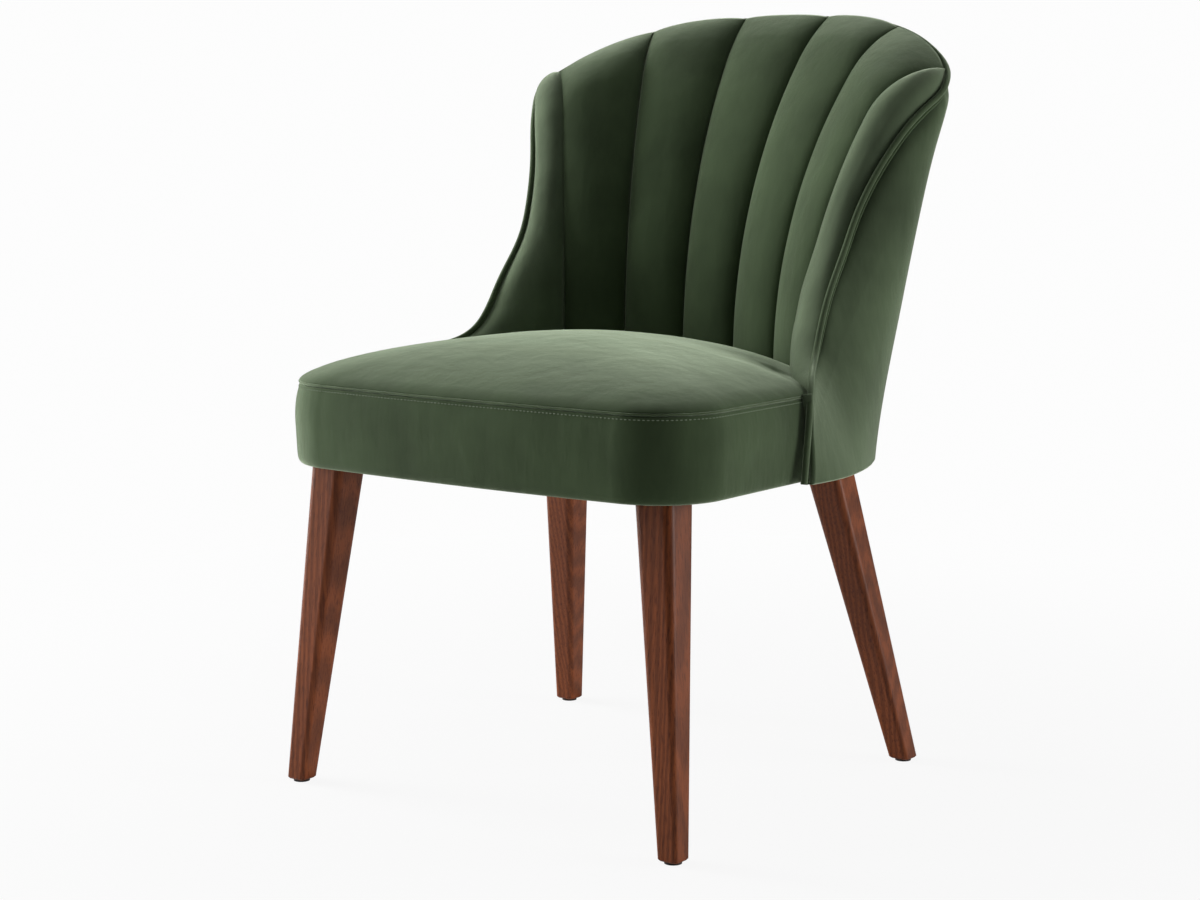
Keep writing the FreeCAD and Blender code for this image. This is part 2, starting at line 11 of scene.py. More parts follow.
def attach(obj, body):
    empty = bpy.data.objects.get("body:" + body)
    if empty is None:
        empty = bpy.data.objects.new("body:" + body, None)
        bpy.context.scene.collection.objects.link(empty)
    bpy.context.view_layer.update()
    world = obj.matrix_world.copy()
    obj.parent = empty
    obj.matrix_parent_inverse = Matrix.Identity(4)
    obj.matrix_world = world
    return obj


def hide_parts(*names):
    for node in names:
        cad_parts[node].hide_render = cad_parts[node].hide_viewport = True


bl_info = {
    "name": "Channelled Barrel Chair",
    "version": (1, 0, 0),
    "blender": (4, 5, 0),
    "location": "3D View > Sidebar > Chair",
    "description": "Dresses the frame of an upholstered dining chair in velvet, piping, stitches and walnut",
    "category": "Object",
}

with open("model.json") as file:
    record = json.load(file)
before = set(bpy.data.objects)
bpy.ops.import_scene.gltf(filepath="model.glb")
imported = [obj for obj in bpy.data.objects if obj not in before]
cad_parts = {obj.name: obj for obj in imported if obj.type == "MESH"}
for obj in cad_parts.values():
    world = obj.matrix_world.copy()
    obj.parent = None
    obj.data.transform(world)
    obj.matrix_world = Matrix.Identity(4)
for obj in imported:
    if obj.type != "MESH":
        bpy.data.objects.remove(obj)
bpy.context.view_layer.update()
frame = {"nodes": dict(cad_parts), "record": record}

# Lengths are in metres and angles in degrees from straight back. The barrel of the back turns about an upright line.
AXIS_Y = -0.1185
BARREL = 0.259
LEAN_RADIUS = 0.575
LEAN_START = 0.455
ROLL_HEIGHT = 0.050
SEAT_BOTTOM = 0.357
SEAT_SEAM = 0.446
SEAMS = (7.8, 23.7, 39.4)

# The rim is nearly level over the middle, falls towards its corners and draws in there
RIM_RADIUS = 0.4301
RIM_TOP = 0.8441
RIM_FALL = 0.0648
RIM_FALL_POWER = 2.8
RIM_CORNER = 39.55
CORNER_INSET = 0.0055
CORNER_INSET_POWER = 12
BACK_HEIGHT = RIM_TOP - SEAT_BOTTOM
# Where the inner back meets the piping: inside the rim's circle and over its height
RIM_GAP = 0.0042
RIM_LIFT = 0.003
# Distance between stations along the rim, and how often the piping's line, the cover's foot and its direction out are
# evened; the direction is held over the last stations at each end
EDGE_STEP = 0.0016
LINE_TURNS = 60
FOOT_TURNS = 500
SIDE_TURNS = 200
END_RUN = 20

# Edge of one wing from its foot to the top corner: angle, share of the way from the barrel to the rim's radius, share
# of the back's height; angle of the cover's foot and its distance as a share of the barrel's radius; how far the cover
# stands off the straight line between them; how full the wing's padding is
WING_ROWS = (
    (83.8, 0.1430, 0.1440, 85.2, 1.1074, 0.001, 1.6),
    (78.8, 0.0906, 0.2041, 79.0, 1.151, 0.003, 1.7),
    (64.4, 0.0187, 0.2505, 69.5, 1.189, 0.003, 1.5),
    (55.4, 0.0880, 0.3722, 62.0, 1.222, 0.006, 1.2),
    (49.4, 0.2028, 0.4673, 56.5, 1.250, 0.009, 1.1),
    (46.7, 0.3098, 0.5625, 52.5, 1.271, 0.011, 1.0),
    (45.3, 0.4489, 0.6508, 49.5, 1.284, 0.011, 1.0),
    (44.6, 0.6517, 0.7500, 46.0, 1.289, 0.010, 1.1),
    (43.9, 0.7720, 0.7890, 43.6, 1.285, 0.008, 1.1),
    (43.2, 0.8737, 0.8181, 42.0, 1.277, 0.006, 1.0),
    (41.9, 0.9270, 0.8438, 40.2, 1.264, 0.005, 0.8),
    (39.6, 0.9679, 0.8667, 38.2, 1.250, 0.005, 0.3),
)
# The same from the corner to the middle: angle, distance of the cover's foot, stand-off
REAR_ROWS = (
    (36.0, 1.235, 0.004),
    (28.0, 1.200, 0.000),
    (19.0, 1.155, -0.005),
    (9.5, 1.122, -0.008),
    (0.0, 1.110, -0.010),
)
# Where the piping ends under the seat: angle, distance, height over the seat's underside
CORD_FOOT = (86.0, 1.0953, 0.0015)
HEM_RADIUS = 0.0030

# Section of the seat's side band as inset and height: seam allowance, lip, swelling side, small radius, and under the
# frame; then the way back inside
BAND_FACE = (
    (0.010, -0.004), (0.004, -0.0022), (0.0016, -0.0016), (0.0004, -0.0028), (0.0000, -0.0048), (-0.0014, -0.010),
    (-0.0032, -0.018), (-0.0044, -0.028), (-0.0048, -0.040), (-0.0043, -0.052), (-0.0038, -0.064), (-0.0032, -0.075),
    (-0.0024, -0.0825), (-0.0002, -0.0872), (0.0040, -0.0891), (0.0110, -0.0893), (0.0200, -0.0888),
)
BAND_BACK = (
    (0.0200, -0.0865), (0.0100, -0.0862), (0.0035, -0.070), (0.0012, -0.045), (0.0035, -0.015), (0.010, -0.0065),
)
BAND_ROWS = 44
BAND_END_Y = -0.0770

# How the cushion's outline rises to its crown
CROWN_POWER = 1.6

# The padding as cloth: size of its cells, frames, and for each kind the most that a point may move, the share of the
# movement that is carried over, and the pressure
CLOTH_VOXEL = 0.006
CLOTH_FRAMES = 20
SEAT_CLOTH = (0.006, 0.7, 4.0)
BACK_CLOTH = (0.003, 0.8, 26.0)

# Painted light: how much lighter each part's copy of the velvet is made, with a lighter ground and a stronger sheen,
# standing in for the brighter light and sheen on the piping, the outer back and the wings
PAINTED_LIGHT_LIFT = {"Velvet": 1.0, "VelvetPiping": 1.25, "VelvetOuter": 1.5, "VelvetWing": 2.0}

# Lamps of the studio: name, place, width and power; all are white and face the chair's middle
LAMPS = (("key", (-2.7, -1.1, 0.9), 1.2, 54.0),
         ("left", (-2.8, -0.5, 1.7), 1.2, 48.0),
         ("front", (-1.9, -2.0, 2.3), 1.5, 13.0),
         ("top", (0.0, 0.0, 3.0), 1.5, 6.0),
         ("right", (2.6, 1.2, 0.8), 1.4, 44.0),
         ("rear", (1.2, 2.6, 1.8), 1.5, 8.0))
LAMP_TARGET = (0.0, 0.0, 0.45)
FLOOR_REACH = 30.0
CAMERA_PLACE = (1.59563, -2.20625, 0.74304)
CAMERA_TURN = (81.9775, 0.0, 36.7303)
CAMERA_LENS = 73.5
CAMERA_SENSOR = 36.0


class ChairSeat(bpy.types.PropertyGroup):
    half_width: FloatProperty(name="Half width", description="Half the seat's width at its seam",
                              default=0.270, unit="LENGTH")
    front_y: FloatProperty(name="Front", description="Where the seat's front corners end",
                           default=-0.3065, unit="LENGTH")
    bow: FloatProperty(name="Front bow", description="How far the front bows out", default=0.006, unit="LENGTH")
    corner: FloatProperty(name="Corner", description="Radius of the front corners", default=0.079, unit="LENGTH")
    waist_y: FloatProperty(name="Waist", description="Where the straight sides end", default=-0.0740, unit="LENGTH")
    crown: FloatProperty(name="Crown", description="Height of the cushion's middle over the floor",
                         default=0.4995, unit="LENGTH")
    stitch: FloatProperty(name="Stitch", description="Length of one stitch", default=0.0030, unit="LENGTH")
    stitch_pitch: FloatProperty(name="Stitch pitch", description="From one stitch to the next",
                                default=0.0046, unit="LENGTH")


class ChairBack(bpy.types.PropertyGroup):
    crown: FloatProperty(name="Channel crown", description="How far a channel swells from its seams",
                         default=0.0095, unit="LENGTH")
    seam_depth: FloatProperty(name="Seam depth", description="How far a seam is sunk", default=0.004, unit="LENGTH")
    wing_crown: FloatProperty(name="Wing crown", description="How far a wing swells", default=0.015, unit="LENGTH")
    welt: FloatProperty(name="Piping", description="Radius of the piping", default=0.0034, unit="LENGTH")
    lip: FloatProperty(name="Rolled edge", description="Radius of the outer cover's rolled edge",
                       default=0.0019, unit="LENGTH")


class ChairFinish(bpy.types.PropertyGroup):
    velvet: FloatVectorProperty(name="Velvet", description="Colour of the velvet's ground", subtype="COLOR",
                                default=(0.049, 0.074, 0.035))
    pile: FloatVectorProperty(name="Pile", description="Colour of the light that the tips of the pile scatter",
                              subtype="COLOR", default=(0.66, 0.78, 0.57))
    walnut_dark: FloatVectorProperty(name="Walnut, dark", description="Dark grain of the legs", subtype="COLOR",
                                     default=(0.080, 0.020, 0.006))
    walnut_light: FloatVectorProperty(name="Walnut, light", description="Light grain of the legs", subtype="COLOR",
                                      default=(0.27, 0.072, 0.021))
    seed: IntProperty(name="Seed", description="Seed of the small irregularities", default=7, min=0)


# Curves and surfaces


def polar(angle, radius, z):
    """Points at an angle and a radius from the barrel's line."""
    turn = np.radians(angle)
    return np.stack([radius * np.sin(turn), AXIS_Y + radius * np.cos(turn), z + 0 * radius], axis=-1)


def to_polar(points):
    """Angle, radius and height of points."""
    ahead = points[..., 1] - AXIS_Y
    return np.stack([np.degrees(np.arctan2(points[..., 0], ahead)), np.hypot(points[..., 0], ahead), points[..., 2]],
                    axis=-1)


def resampled(points, count, closed=False):
    """Points at even steps along a polyline."""
    points = np.asarray(points, float)
    if closed:
        points = np.vstack([points, points[:1]])
    steps = np.linalg.norm(np.diff(points, axis=0), axis=1)
    along = np.concatenate([[0], np.cumsum(steps)])
    keep = np.concatenate([[True], steps > 1e-9])
    want = np.linspace(0, along[-1], count + 1 if closed else count)
    if closed:
        want = want[:-1]
    return np.stack([np.interp(want, along[keep], points[keep, k]) for k in range(points.shape[1])], axis=1)


def smooth_rows(rows, count):
    """Rows of numbers joined by a smooth curve that passes through each of them."""
    rows = np.asarray(rows, float)
    knots = np.concatenate([[0], np.cumsum(np.sqrt(np.linalg.norm(np.diff(rows[:, :3], axis=0), axis=1)))])
    n = len(rows)
    gaps = np.diff(knots)
    matrix = np.zeros((n, n))
    right = np.zeros((n, rows.shape[1]))
    matrix[0, 0] = matrix[-1, -1] = 1
    for i in range(1, n - 1):
        matrix[i, i - 1] = gaps[i - 1]
        matrix[i, i] = 2 * (gaps[i - 1] + gaps[i])
        matrix[i, i + 1] = gaps[i]
        right[i] = 6 * ((rows[i + 1] - rows[i]) / gaps[i] - (rows[i] - rows[i - 1]) / gaps[i - 1])
    bend = np.linalg.solve(matrix, right)
    want = np.linspace(0, knots[-1], count)
    i = np.clip(np.searchsorted(knots, want) - 1, 0, n - 2)
    a = ((knots[i + 1] - want) / gaps[i])[:, None]
    b = 1 - a
    h = (gaps[i] ** 2)[:, None] / 6
    return a * rows[i] + b * rows[i + 1] + ((a ** 3 - a) * bend[i] + (b ** 3 - b) * bend[i + 1]) * h


def unit(v):
    return v / np.maximum(np.linalg.norm(v, axis=-1, keepdims=True), 1e-12)


def tangents(points):
    return unit(np.gradient(points, axis=0))


def run_length(points):
    """Distance along a polyline at each of its points."""
    return np.concatenate([[0], np.cumsum(np.linalg.norm(np.diff(points, axis=0), axis=1))])


def even_cosine(count):
    """Shares from 0 to 1 that lie closer at both ends."""
    return (1 - np.cos(np.linspace(0, math.pi, count))) / 2


def grid_normals(grid):
    """Normals of a grid of points, along by across."""
    return unit(np.cross(np.gradient(grid, axis=1), np.gradient(grid, axis=0)))


def unevenness(points, size, amount, seed):
    """Small soft irregularities: one number for each point."""
    shift = Vector((seed * 1.7, seed * 0.9, seed * 2.3))
    flat = points.reshape(-1, 3)
    values = [noise.noise(Vector(p) / size + shift) for p in flat]
    return np.array(values).reshape(points.shape[:-1]) * amount


def linked(name, data):
    """A new object in the scene."""
    made = bpy.data.objects.new(name, data)
    bpy.context.scene.collection.objects.link(made)
    return made


def piece(name, vertices, faces):
    """A smooth mesh with its normals pointing outwards."""
    mesh = bpy.data.meshes.new(name)
    mesh.from_pydata([tuple(v) for v in np.asarray(vertices)], [], [tuple(int(i) for i in f) for f in faces])
    made = linked(name, mesh)
    work = bmesh.new()
    work.from_mesh(mesh)
    bmesh.ops.remove_doubles(work, verts=work.verts, dist=1e-6)
    bmesh.ops.recalc_face_normals(work, faces=work.faces)
    work.to_mesh(mesh)
    work.free()
    mesh.shade_smooth()
    return made


def tube_grid(loops):
    """Vertices and faces of a tube through equal closed loops, with flat ends."""
    loops = np.asarray(loops)
    rows, cols = loops.shape[:2]
    faces = []
    for i in range(rows - 1):
        for j in range(cols):
            m = (j + 1) % cols
            faces.append((i * cols + j, i * cols + m, (i + 1) * cols + m, (i + 1) * cols + j))
    faces.append(tuple(range(cols))[::-1])
    faces.append(tuple(range((rows - 1) * cols, rows * cols)))
    return loops.reshape(-1, 3), faces


def dressed(obj, material, nodes):
    """Gives a piece its material, hangs it under the root body and hides the frame's parts that it replaces."""
    obj.data.materials.clear()
    obj.data.materials.append(material)
    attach(obj, "root")
    if nodes:
        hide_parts(*nodes)
    return obj


# Outlines


def plan(half_width, front, bow, corner, waist, rear_radius, rear_angle, count):
    """The seat's outline: bowed front, round corners, straight sides, and a rear struck from the barrel's line."""
    tangent = half_width - corner
    x = np.linspace(0, tangent, 40)
    front_run = np.stack([x, front - bow * (1 - (x / tangent) ** 2)], axis=1)
    turn = np.linspace(0, math.pi / 2, 40)
    corner_run = np.stack([tangent + corner * np.sin(turn), front + corner - corner * np.cos(turn)], axis=1)
    side_run = np.array([[half_width, waist]])
    angle = np.radians(np.linspace(rear_angle, 0, 60))
    rear_run = np.stack([rear_radius * np.sin(angle), AXIS_Y + rear_radius * np.cos(angle)], axis=1)
    right = np.vstack([front_run, corner_run[1:], side_run, rear_run])
    left = right[::-1][1:-1] * [-1, 1]
    loop = resampled(np.vstack([right, left]), count, closed=True)
    for _ in range(3):
        loop = (np.roll(loop, 1, axis=0) + 2 * loop + np.roll(loop, -1, axis=0)) / 4
    return loop


def rim_height(angle):
    return RIM_TOP - RIM_FALL * (np.abs(angle) / RIM_CORNER) ** RIM_FALL_POWER


def rim_radius(angle):
    return RIM_RADIUS - CORNER_INSET * (np.abs(angle) / RIM_CORNER) ** CORNER_INSET_POWER


def back_profile(angle, low, count):
    """Radius and height up the inner back at one angle: upright, leaning, then over the roll to the rim."""
    end_r = rim_radius(angle) - RIM_GAP
    end_z = rim_height(angle) + RIM_LIFT
    start = math.asin((end_z - ROLL_HEIGHT - LEAN_START) / LEAN_RADIUS)
    start_r = BARREL + LEAN_RADIUS * (1 - math.cos(start))
    dr = end_r - start_r
    radius = (dr ** 2 + ROLL_HEIGHT ** 2) / (2 * (dr * math.cos(start) - ROLL_HEIGHT * math.sin(start)))
    centre_r = start_r + radius * math.cos(start)
    centre_z = end_z - ROLL_HEIGHT - radius * math.sin(start)
    end = math.atan2(end_z - centre_z, centre_r - end_r)
    rows = [(BARREL, z) for z in np.linspace(low, LEAN_START, 20)]
    rows += [(BARREL + LEAN_RADIUS * (1 - math.cos(t)), LEAN_START + LEAN_RADIUS * math.sin(t))
             for t in np.linspace(0, start, 200)[1:]]
    rows += [(centre_r - radius * math.cos(t), centre_z + radius * math.sin(t))
             for t in np.linspace(start, end, 160)[1:]]
    return resampled(rows, count)


def inner_grid(angles, low, count):
    """Points of the inner back's plain surface, up the profile by across the angles, with their normals."""
    profiles = [back_profile(angle, low, count) for angle in angles]
    grid = np.stack([polar(angle, row[:, 0], row[:, 1]) for angle, row in zip(angles, profiles)], axis=1)
    normals = []
    for angle, row in zip(angles, profiles):
        step = unit(np.gradient(row, axis=0))
        normals.append(polar(angle, -step[:, 1], step[:, 0]) - [0, AXIS_Y, 0])
    return grid, np.stack(normals, axis=1)


def rim_rows():
    """Stations round the rim: place, cover's foot, stand-off and wing padding, from the right foot to the left."""
    right = []
    for angle, share, h, foot_angle, foot_r, off, full in WING_ROWS:
        rim = polar(angle, BARREL + share * (RIM_RADIUS - BARREL), SEAT_BOTTOM + h * BACK_HEIGHT)
        foot = polar(foot_angle, foot_r * BARREL, SEAT_BOTTOM)
        right.append(np.concatenate([rim, foot, [off, full]]))
    for angle, foot_r, off in REAR_ROWS:
        rim = polar(angle, rim_radius(angle), rim_height(angle))
        foot = polar(angle, foot_r * BARREL, SEAT_BOTTOM)
        right.append(np.concatenate([rim, foot, [off, 0]]))
    right = np.array(right)
    left = right[-2::-1] * [-1, 1, 1, -1, 1, 1, 1, 1]
    return np.vstack([right, left])


def softened(rows, turns):
    """Rows averaged with their neighbours, with both ends held."""
    rows = rows.copy()
    for _ in range(turns):
        rows[1:-1] = (rows[:-2] + 2 * rows[1:-1] + rows[2:]) / 4
    return rows


def back_edge():
    """The piping's line from the right foot over the top to the left foot, and what hangs on it at each station.

    Gives the rows (place, cover's foot, stand-off, padding), the level direction out of the cover, the direction in the
    cover square to the line, and the two indices between which the cover hangs.
    """
    rows = smooth_rows(rim_rows(), 4000)
    rows = resampled(rows, int(run_length(rows[:, :3])[-1] / EDGE_STEP))
    angle, distance, height = CORD_FOOT
    cord_foot = polar(angle, distance * BARREL, SEAT_BOTTOM + height)
    ends = []
    for row, sign in ((rows[0], 1), (rows[-1], -1)):
        low = row.copy()
        low[:3] = cord_foot * [sign, 1, 1]
        share = np.linspace(0, 1, int(np.linalg.norm(row[:3] - low[:3]) / EDGE_STEP), endpoint=False)[:, None]
        ends.append(low * (1 - share) + row * share)
    run = len(ends[0])
    rows = np.vstack([ends[0], rows, ends[1][::-1]])
    rows[:, :3] = softened(rows[:, :3], LINE_TURNS)
    rows[:, 3:] = softened(rows[:, 3:], FOOT_TURNS)
    middle = softened((rows[:, :3] + rows[:, 3:6]) / 2, SIDE_TURNS)
    outward = np.cross(tangents(middle), unit(rows[:, 3:6] - rows[:, :3] - [0, 0, 1e-4]))
    outward[:, 2] = 0
    outward = unit(outward)
    away = middle - [0, AXIS_Y, 0]
    outward *= np.sign((outward[:, :2] * away[:, :2]).sum(axis=1))[:, None]
    outward[:run + END_RUN] = outward[run + END_RUN]
    outward[-run - END_RUN:] = outward[-run - END_RUN]
    outward = unit(softened(outward, SIDE_TURNS))
    reach = unit(np.cross(tangents(rows[:, :3]), outward))
    return rows, outward, reach, run, len(rows) - run


# Materials


def new_group(name, inputs, outputs):
    group = bpy.data.node_groups.new(name, "ShaderNodeTree")
    for label, kind, value in inputs:
        socket = group.interface.new_socket(label, in_out="INPUT", socket_type=kind)
        if value is not None:
            socket.default_value = value
    for label, kind in outputs:
        group.interface.new_socket(label, in_out="OUTPUT", socket_type=kind)
    return group, group.nodes.new("NodeGroupInput"), group.nodes.new("NodeGroupOutput")


def add(tree, kind, **values):
    """A node with its settings; a key that names an input sets that input."""
    node = tree.nodes.new(kind)
    for key, value in values.items():
        if hasattr(node, key) and not isinstance(getattr(node, key, None), bpy.types.bpy_prop_collection):
            setattr(node, key, value)
        else:
            node.inputs[key.replace("_", " ")].default_value = value
    return node


def wire(tree, *links):
    """Joins sockets, each given as node, output, node, input."""
    for source, output, target, entry in links:
        tree.links.new(source.outputs[output], target.inputs[entry])


def pile_group():
    """Cut pile: where it lies lighter or darker, and the fine bump of its tufts."""
    group, source, result = new_group(
        "CutPile",
        [("Vector", "NodeSocketVector", None), ("Nap Scale", "NodeSocketFloat", 7.0),
         ("Tuft Scale", "NodeSocketFloat", 1400.0)],
        [("Nap", "NodeSocketFloat"), ("Tufts", "NodeSocketFloat")])
    nap = add(group, "ShaderNodeTexNoise", Detail=3.0, Roughness=0.55)
    streak_map = add(group, "ShaderNodeMapping", Scale=(1.0, 1.0, 0.35))
    streak = add(group, "ShaderNodeTexNoise", Scale=34.0, Detail=3.0, Roughness=0.6)
    blend = add(group, "ShaderNodeMath", operation="MULTIPLY_ADD")
    blend.inputs[1].default_value = 0.35
    tufts = add(group, "ShaderNodeTexNoise", Detail=2.0, Roughness=0.7)
    wire(group,
         (source, "Vector", nap, "Vector"), (source, "Nap Scale", nap, "Scale"),
         (source, "Vector", streak_map, "Vector"), (streak_map, "Vector", streak, "Vector"),
         (source, "Vector", tufts, "Vector"), (source, "Tuft Scale", tufts, "Scale"),
         (streak, "Fac", blend, 0), (nap, "Fac", blend, 2),
         (blend, "Value", result, "Nap"), (tufts, "Fac", result, "Tufts"))
    return group


def grain_group():
    """Straight wood grain along Z: bands of growth, fine pores and a slow drift of colour."""
    group, source, result = new_group(
        "WoodGrain",
        [("Vector", "NodeSocketVector", None), ("Ring Scale", "NodeSocketFloat", 46.0)],
        [("Rings", "NodeSocketFloat"), ("Pores", "NodeSocketFloat"), ("Drift", "NodeSocketFloat")])
    stretch = add(group, "ShaderNodeMapping", Scale=(1.0, 1.0, 0.03))
    wander = add(group, "ShaderNodeTexNoise", Scale=16.0, Detail=3.0, Roughness=0.5)
    move = add(group, "ShaderNodeVectorMath", operation="MULTIPLY_ADD")
    move.inputs[1].default_value = (0.035, 0.035, 0.035)
    rings = add(group, "ShaderNodeTexWave", wave_type="BANDS", bands_direction="X", Distortion=1.2, Detail=3.0,
                Detail_Scale=1.2)
    pore_map = add(group, "ShaderNodeMapping", Scale=(1.0, 1.0, 0.035))
    pores = add(group, "ShaderNodeTexNoise", Scale=900.0, Detail=3.0, Roughness=0.65)
    drift = add(group, "ShaderNodeTexNoise", Scale=5.0, Detail=2.0)
    wire(group,
         (source, "Vector", stretch, "Vector"), (stretch, "Vector", wander, "Vector"),
         (wander, "Color", move, 0), (stretch, "Vector", move, 2),
         (move, "Vector", rings, "Vector"), (source, "Ring Scale", rings, "Scale"),
         (source, "Vector", pore_map, "Vector"), (pore_map, "Vector", pores, "Vector"),
         (source, "Vector", drift, "Vector"),
         (rings, "Fac", result, "Rings"), (pores, "Fac", result, "Pores"), (drift, "Fac", result, "Drift"))
    return group


def group_node(tree, name, builder):
    node = tree.nodes.new("ShaderNodeGroup")
    node.node_tree = bpy.data.node_groups.get(name) or builder()
    return node


def set_up(shader, **values):
    for key, value in values.items():
        shader.inputs[key.replace("_", " ")].default_value = value


def new_material(name):
    material = bpy.data.materials.new(name)
    material.use_nodes = True
    tree = material.node_tree
    return material, tree, tree.nodes["Principled BSDF"]


def ramp(tree, stops):
    node = tree.nodes.new("ShaderNodeValToRGB")
    for place, colour in stops[2:]:
        node.color_ramp.elements.new(place)
    for element, (place, colour) in zip(node.color_ramp.elements, sorted(stops)):
        element.position = place
        element.color = (*colour, 1)
    return node


def velvet(name="Velvet"):
    """Cut pile velvet: a dark ground with a soft nap, and pile whose tips catch the light at a slant."""
    if name in bpy.data.materials:
        return bpy.data.materials[name]
    finish = bpy.context.scene.chair_finish
    lift = PAINTED_LIGHT_LIFT[name]
    material, tree, shader = new_material(name)
    place = tree.nodes.new("ShaderNodeTexCoord")
    pile = group_node(tree, "CutPile", pile_group)
    # painted light: a lifted copy gets a ground lightened towards the pile's colour and, below, a stronger sheen
    ground = [c + tip * 0.075 * (lift - 1) for c, tip in zip(finish.velvet, finish.pile)]
    tone = ramp(tree, [(0.35, [c * 0.72 for c in ground]), (0.80, [c * 1.35 for c in ground])])
    brushed = add(tree, "ShaderNodeBump", Strength=0.45, Distance=0.006)
    tufted = add(tree, "ShaderNodeBump", Strength=0.25, Distance=0.0006)
    wire(tree,
         (place, "Object", pile, "Vector"),
         (pile, "Nap", tone, "Fac"), (tone, "Color", shader, "Base Color"),
         (pile, "Nap", brushed, "Height"), (brushed, "Normal", tufted, "Normal"),
         (pile, "Tufts", tufted, "Height"), (tufted, "Normal", shader, "Normal"))
    strongest = max(finish.pile)
    set_up(shader, Roughness=0.85, Specular_IOR_Level=0.05, Sheen_Weight=min(1.0, strongest * lift),
           Sheen_Roughness=0.42, Sheen_Tint=(*[c / strongest for c in finish.pile], 1))
    return material


def plain_cloth(name, colour, roughness=0.9, scale=900.0, strength=0.3):
    """Plain lining, webbing or thread with a fine irregular surface."""
    if name in bpy.data.materials:
        return bpy.data.materials[name]
    material, tree, shader = new_material(name)
    place = tree.nodes.new("ShaderNodeTexCoord")
    grain = add(tree, "ShaderNodeTexNoise", Scale=scale, Detail=2.0)
    tone = ramp(tree, [(0.3, [c * 0.8 for c in colour]), (0.7, [c * 1.2 for c in colour])])
    bump = add(tree, "ShaderNodeBump", Strength=strength, Distance=0.0004)
    wire(tree,
         (place, "Object", grain, "Vector"),
         (grain, "Fac", tone, "Fac"), (tone, "Color", shader, "Base Color"),
         (grain, "Fac", bump, "Height"), (bump, "Normal", shader, "Normal"))
    set_up(shader, Roughness=roughness)
    return material


def lining_cloth():
    return plain_cloth("Lining", (0.012, 0.012, 0.012), 0.95, 1200.0)


def zinc_plate():
    """Zinc-plated steel, unevenly dull."""
    material, tree, shader = new_material("ZincPlate")
    place = tree.nodes.new("ShaderNodeTexCoord")
    cloud = add(tree, "ShaderNodeTexNoise", Scale=260.0, Detail=2.0)
    rough = ramp(tree, [(0.3, (0.28, 0.28, 0.28)), (0.7, (0.46, 0.46, 0.46))])
    wire(tree, (place, "Object", cloud, "Vector"), (cloud, "Fac", rough, "Fac"), (rough, "Color", shader, "Roughness"))
    set_up(shader, Base_Color=(0.62, 0.62, 0.60, 1), Metallic=1.0)
    return material


def wood(name, dark, light, gloss):
    """Wood with growth bands, dark pores and a slow drift of tone."""
    if name in bpy.data.materials:
        return bpy.data.materials[name]
    material, tree, shader = new_material(name)
    place = tree.nodes.new("ShaderNodeTexCoord")
    grain = group_node(tree, "WoodGrain", grain_group)
    middle = [0.35 * a + 0.65 * b for a, b in zip(dark, light)]
    deep = [0.5 * a + 0.5 * b for a, b in zip(dark, light)]
    tone = ramp(tree, [(0.05, light), (1.0, deep), (0.6, middle)])
    pores = ramp(tree, [(0.36, (0.35, 0.30, 0.28)), (0.5, (1, 1, 1))])
    shade = add(tree, "ShaderNodeMix", data_type="RGBA", blend_type="MULTIPLY", Factor=0.75)
    drift = ramp(tree, [(0.3, (0.75, 0.72, 0.70)), (0.7, (1.15, 1.12, 1.1))])
    cast = add(tree, "ShaderNodeMix", data_type="RGBA", blend_type="MULTIPLY", Factor=0.8)
    bump = add(tree, "ShaderNodeBump", Strength=0.12, Distance=0.0003)
    wire(tree,
         (place, "Object", grain, "Vector"),
         (grain, "Rings", tone, "Fac"), (grain, "Pores", pores, "Fac"), (grain, "Drift", drift, "Fac"),
         (tone, "Color", shade, "A"), (pores, "Color", shade, "B"),
         (shade, "Result", cast, "A"), (drift, "Color", cast, "B"), (cast, "Result", shader, "Base Color"),
         (grain, "Pores", bump, "Height"), (bump, "Normal", shader, "Normal"))
    set_up(shader, Roughness=0.42, Specular_IOR_Level=0.22, Coat_Weight=gloss, Coat_Roughness=0.28)
    return material


# Padding as cloth


def coordinates(mesh):
    found = np.empty(len(mesh.vertices) * 3, dtype=np.float32)
    mesh.vertices.foreach_get("co", found)
    return found.reshape(-1, 3).astype(float)


def nearest_mix(places, values, wanted, count):
    """Values at the wanted places, mixed from the nearest given ones."""
    tree = kdtree.KDTree(len(places))
    for i, place in enumerate(places):
        tree.insert(place, i)
    tree.balance()
    values = np.asarray(values, float)
    result = []
    for place in wanted:
        near = tree.find_n(place, count)
        weight = np.array([1 / (distance ** 2 + 1e-7) for _, _, distance in near])
        result.append((weight[:, None] * values[[i for _, i, _ in near]]).sum(axis=0) / weight.sum())
    return np.array(result)


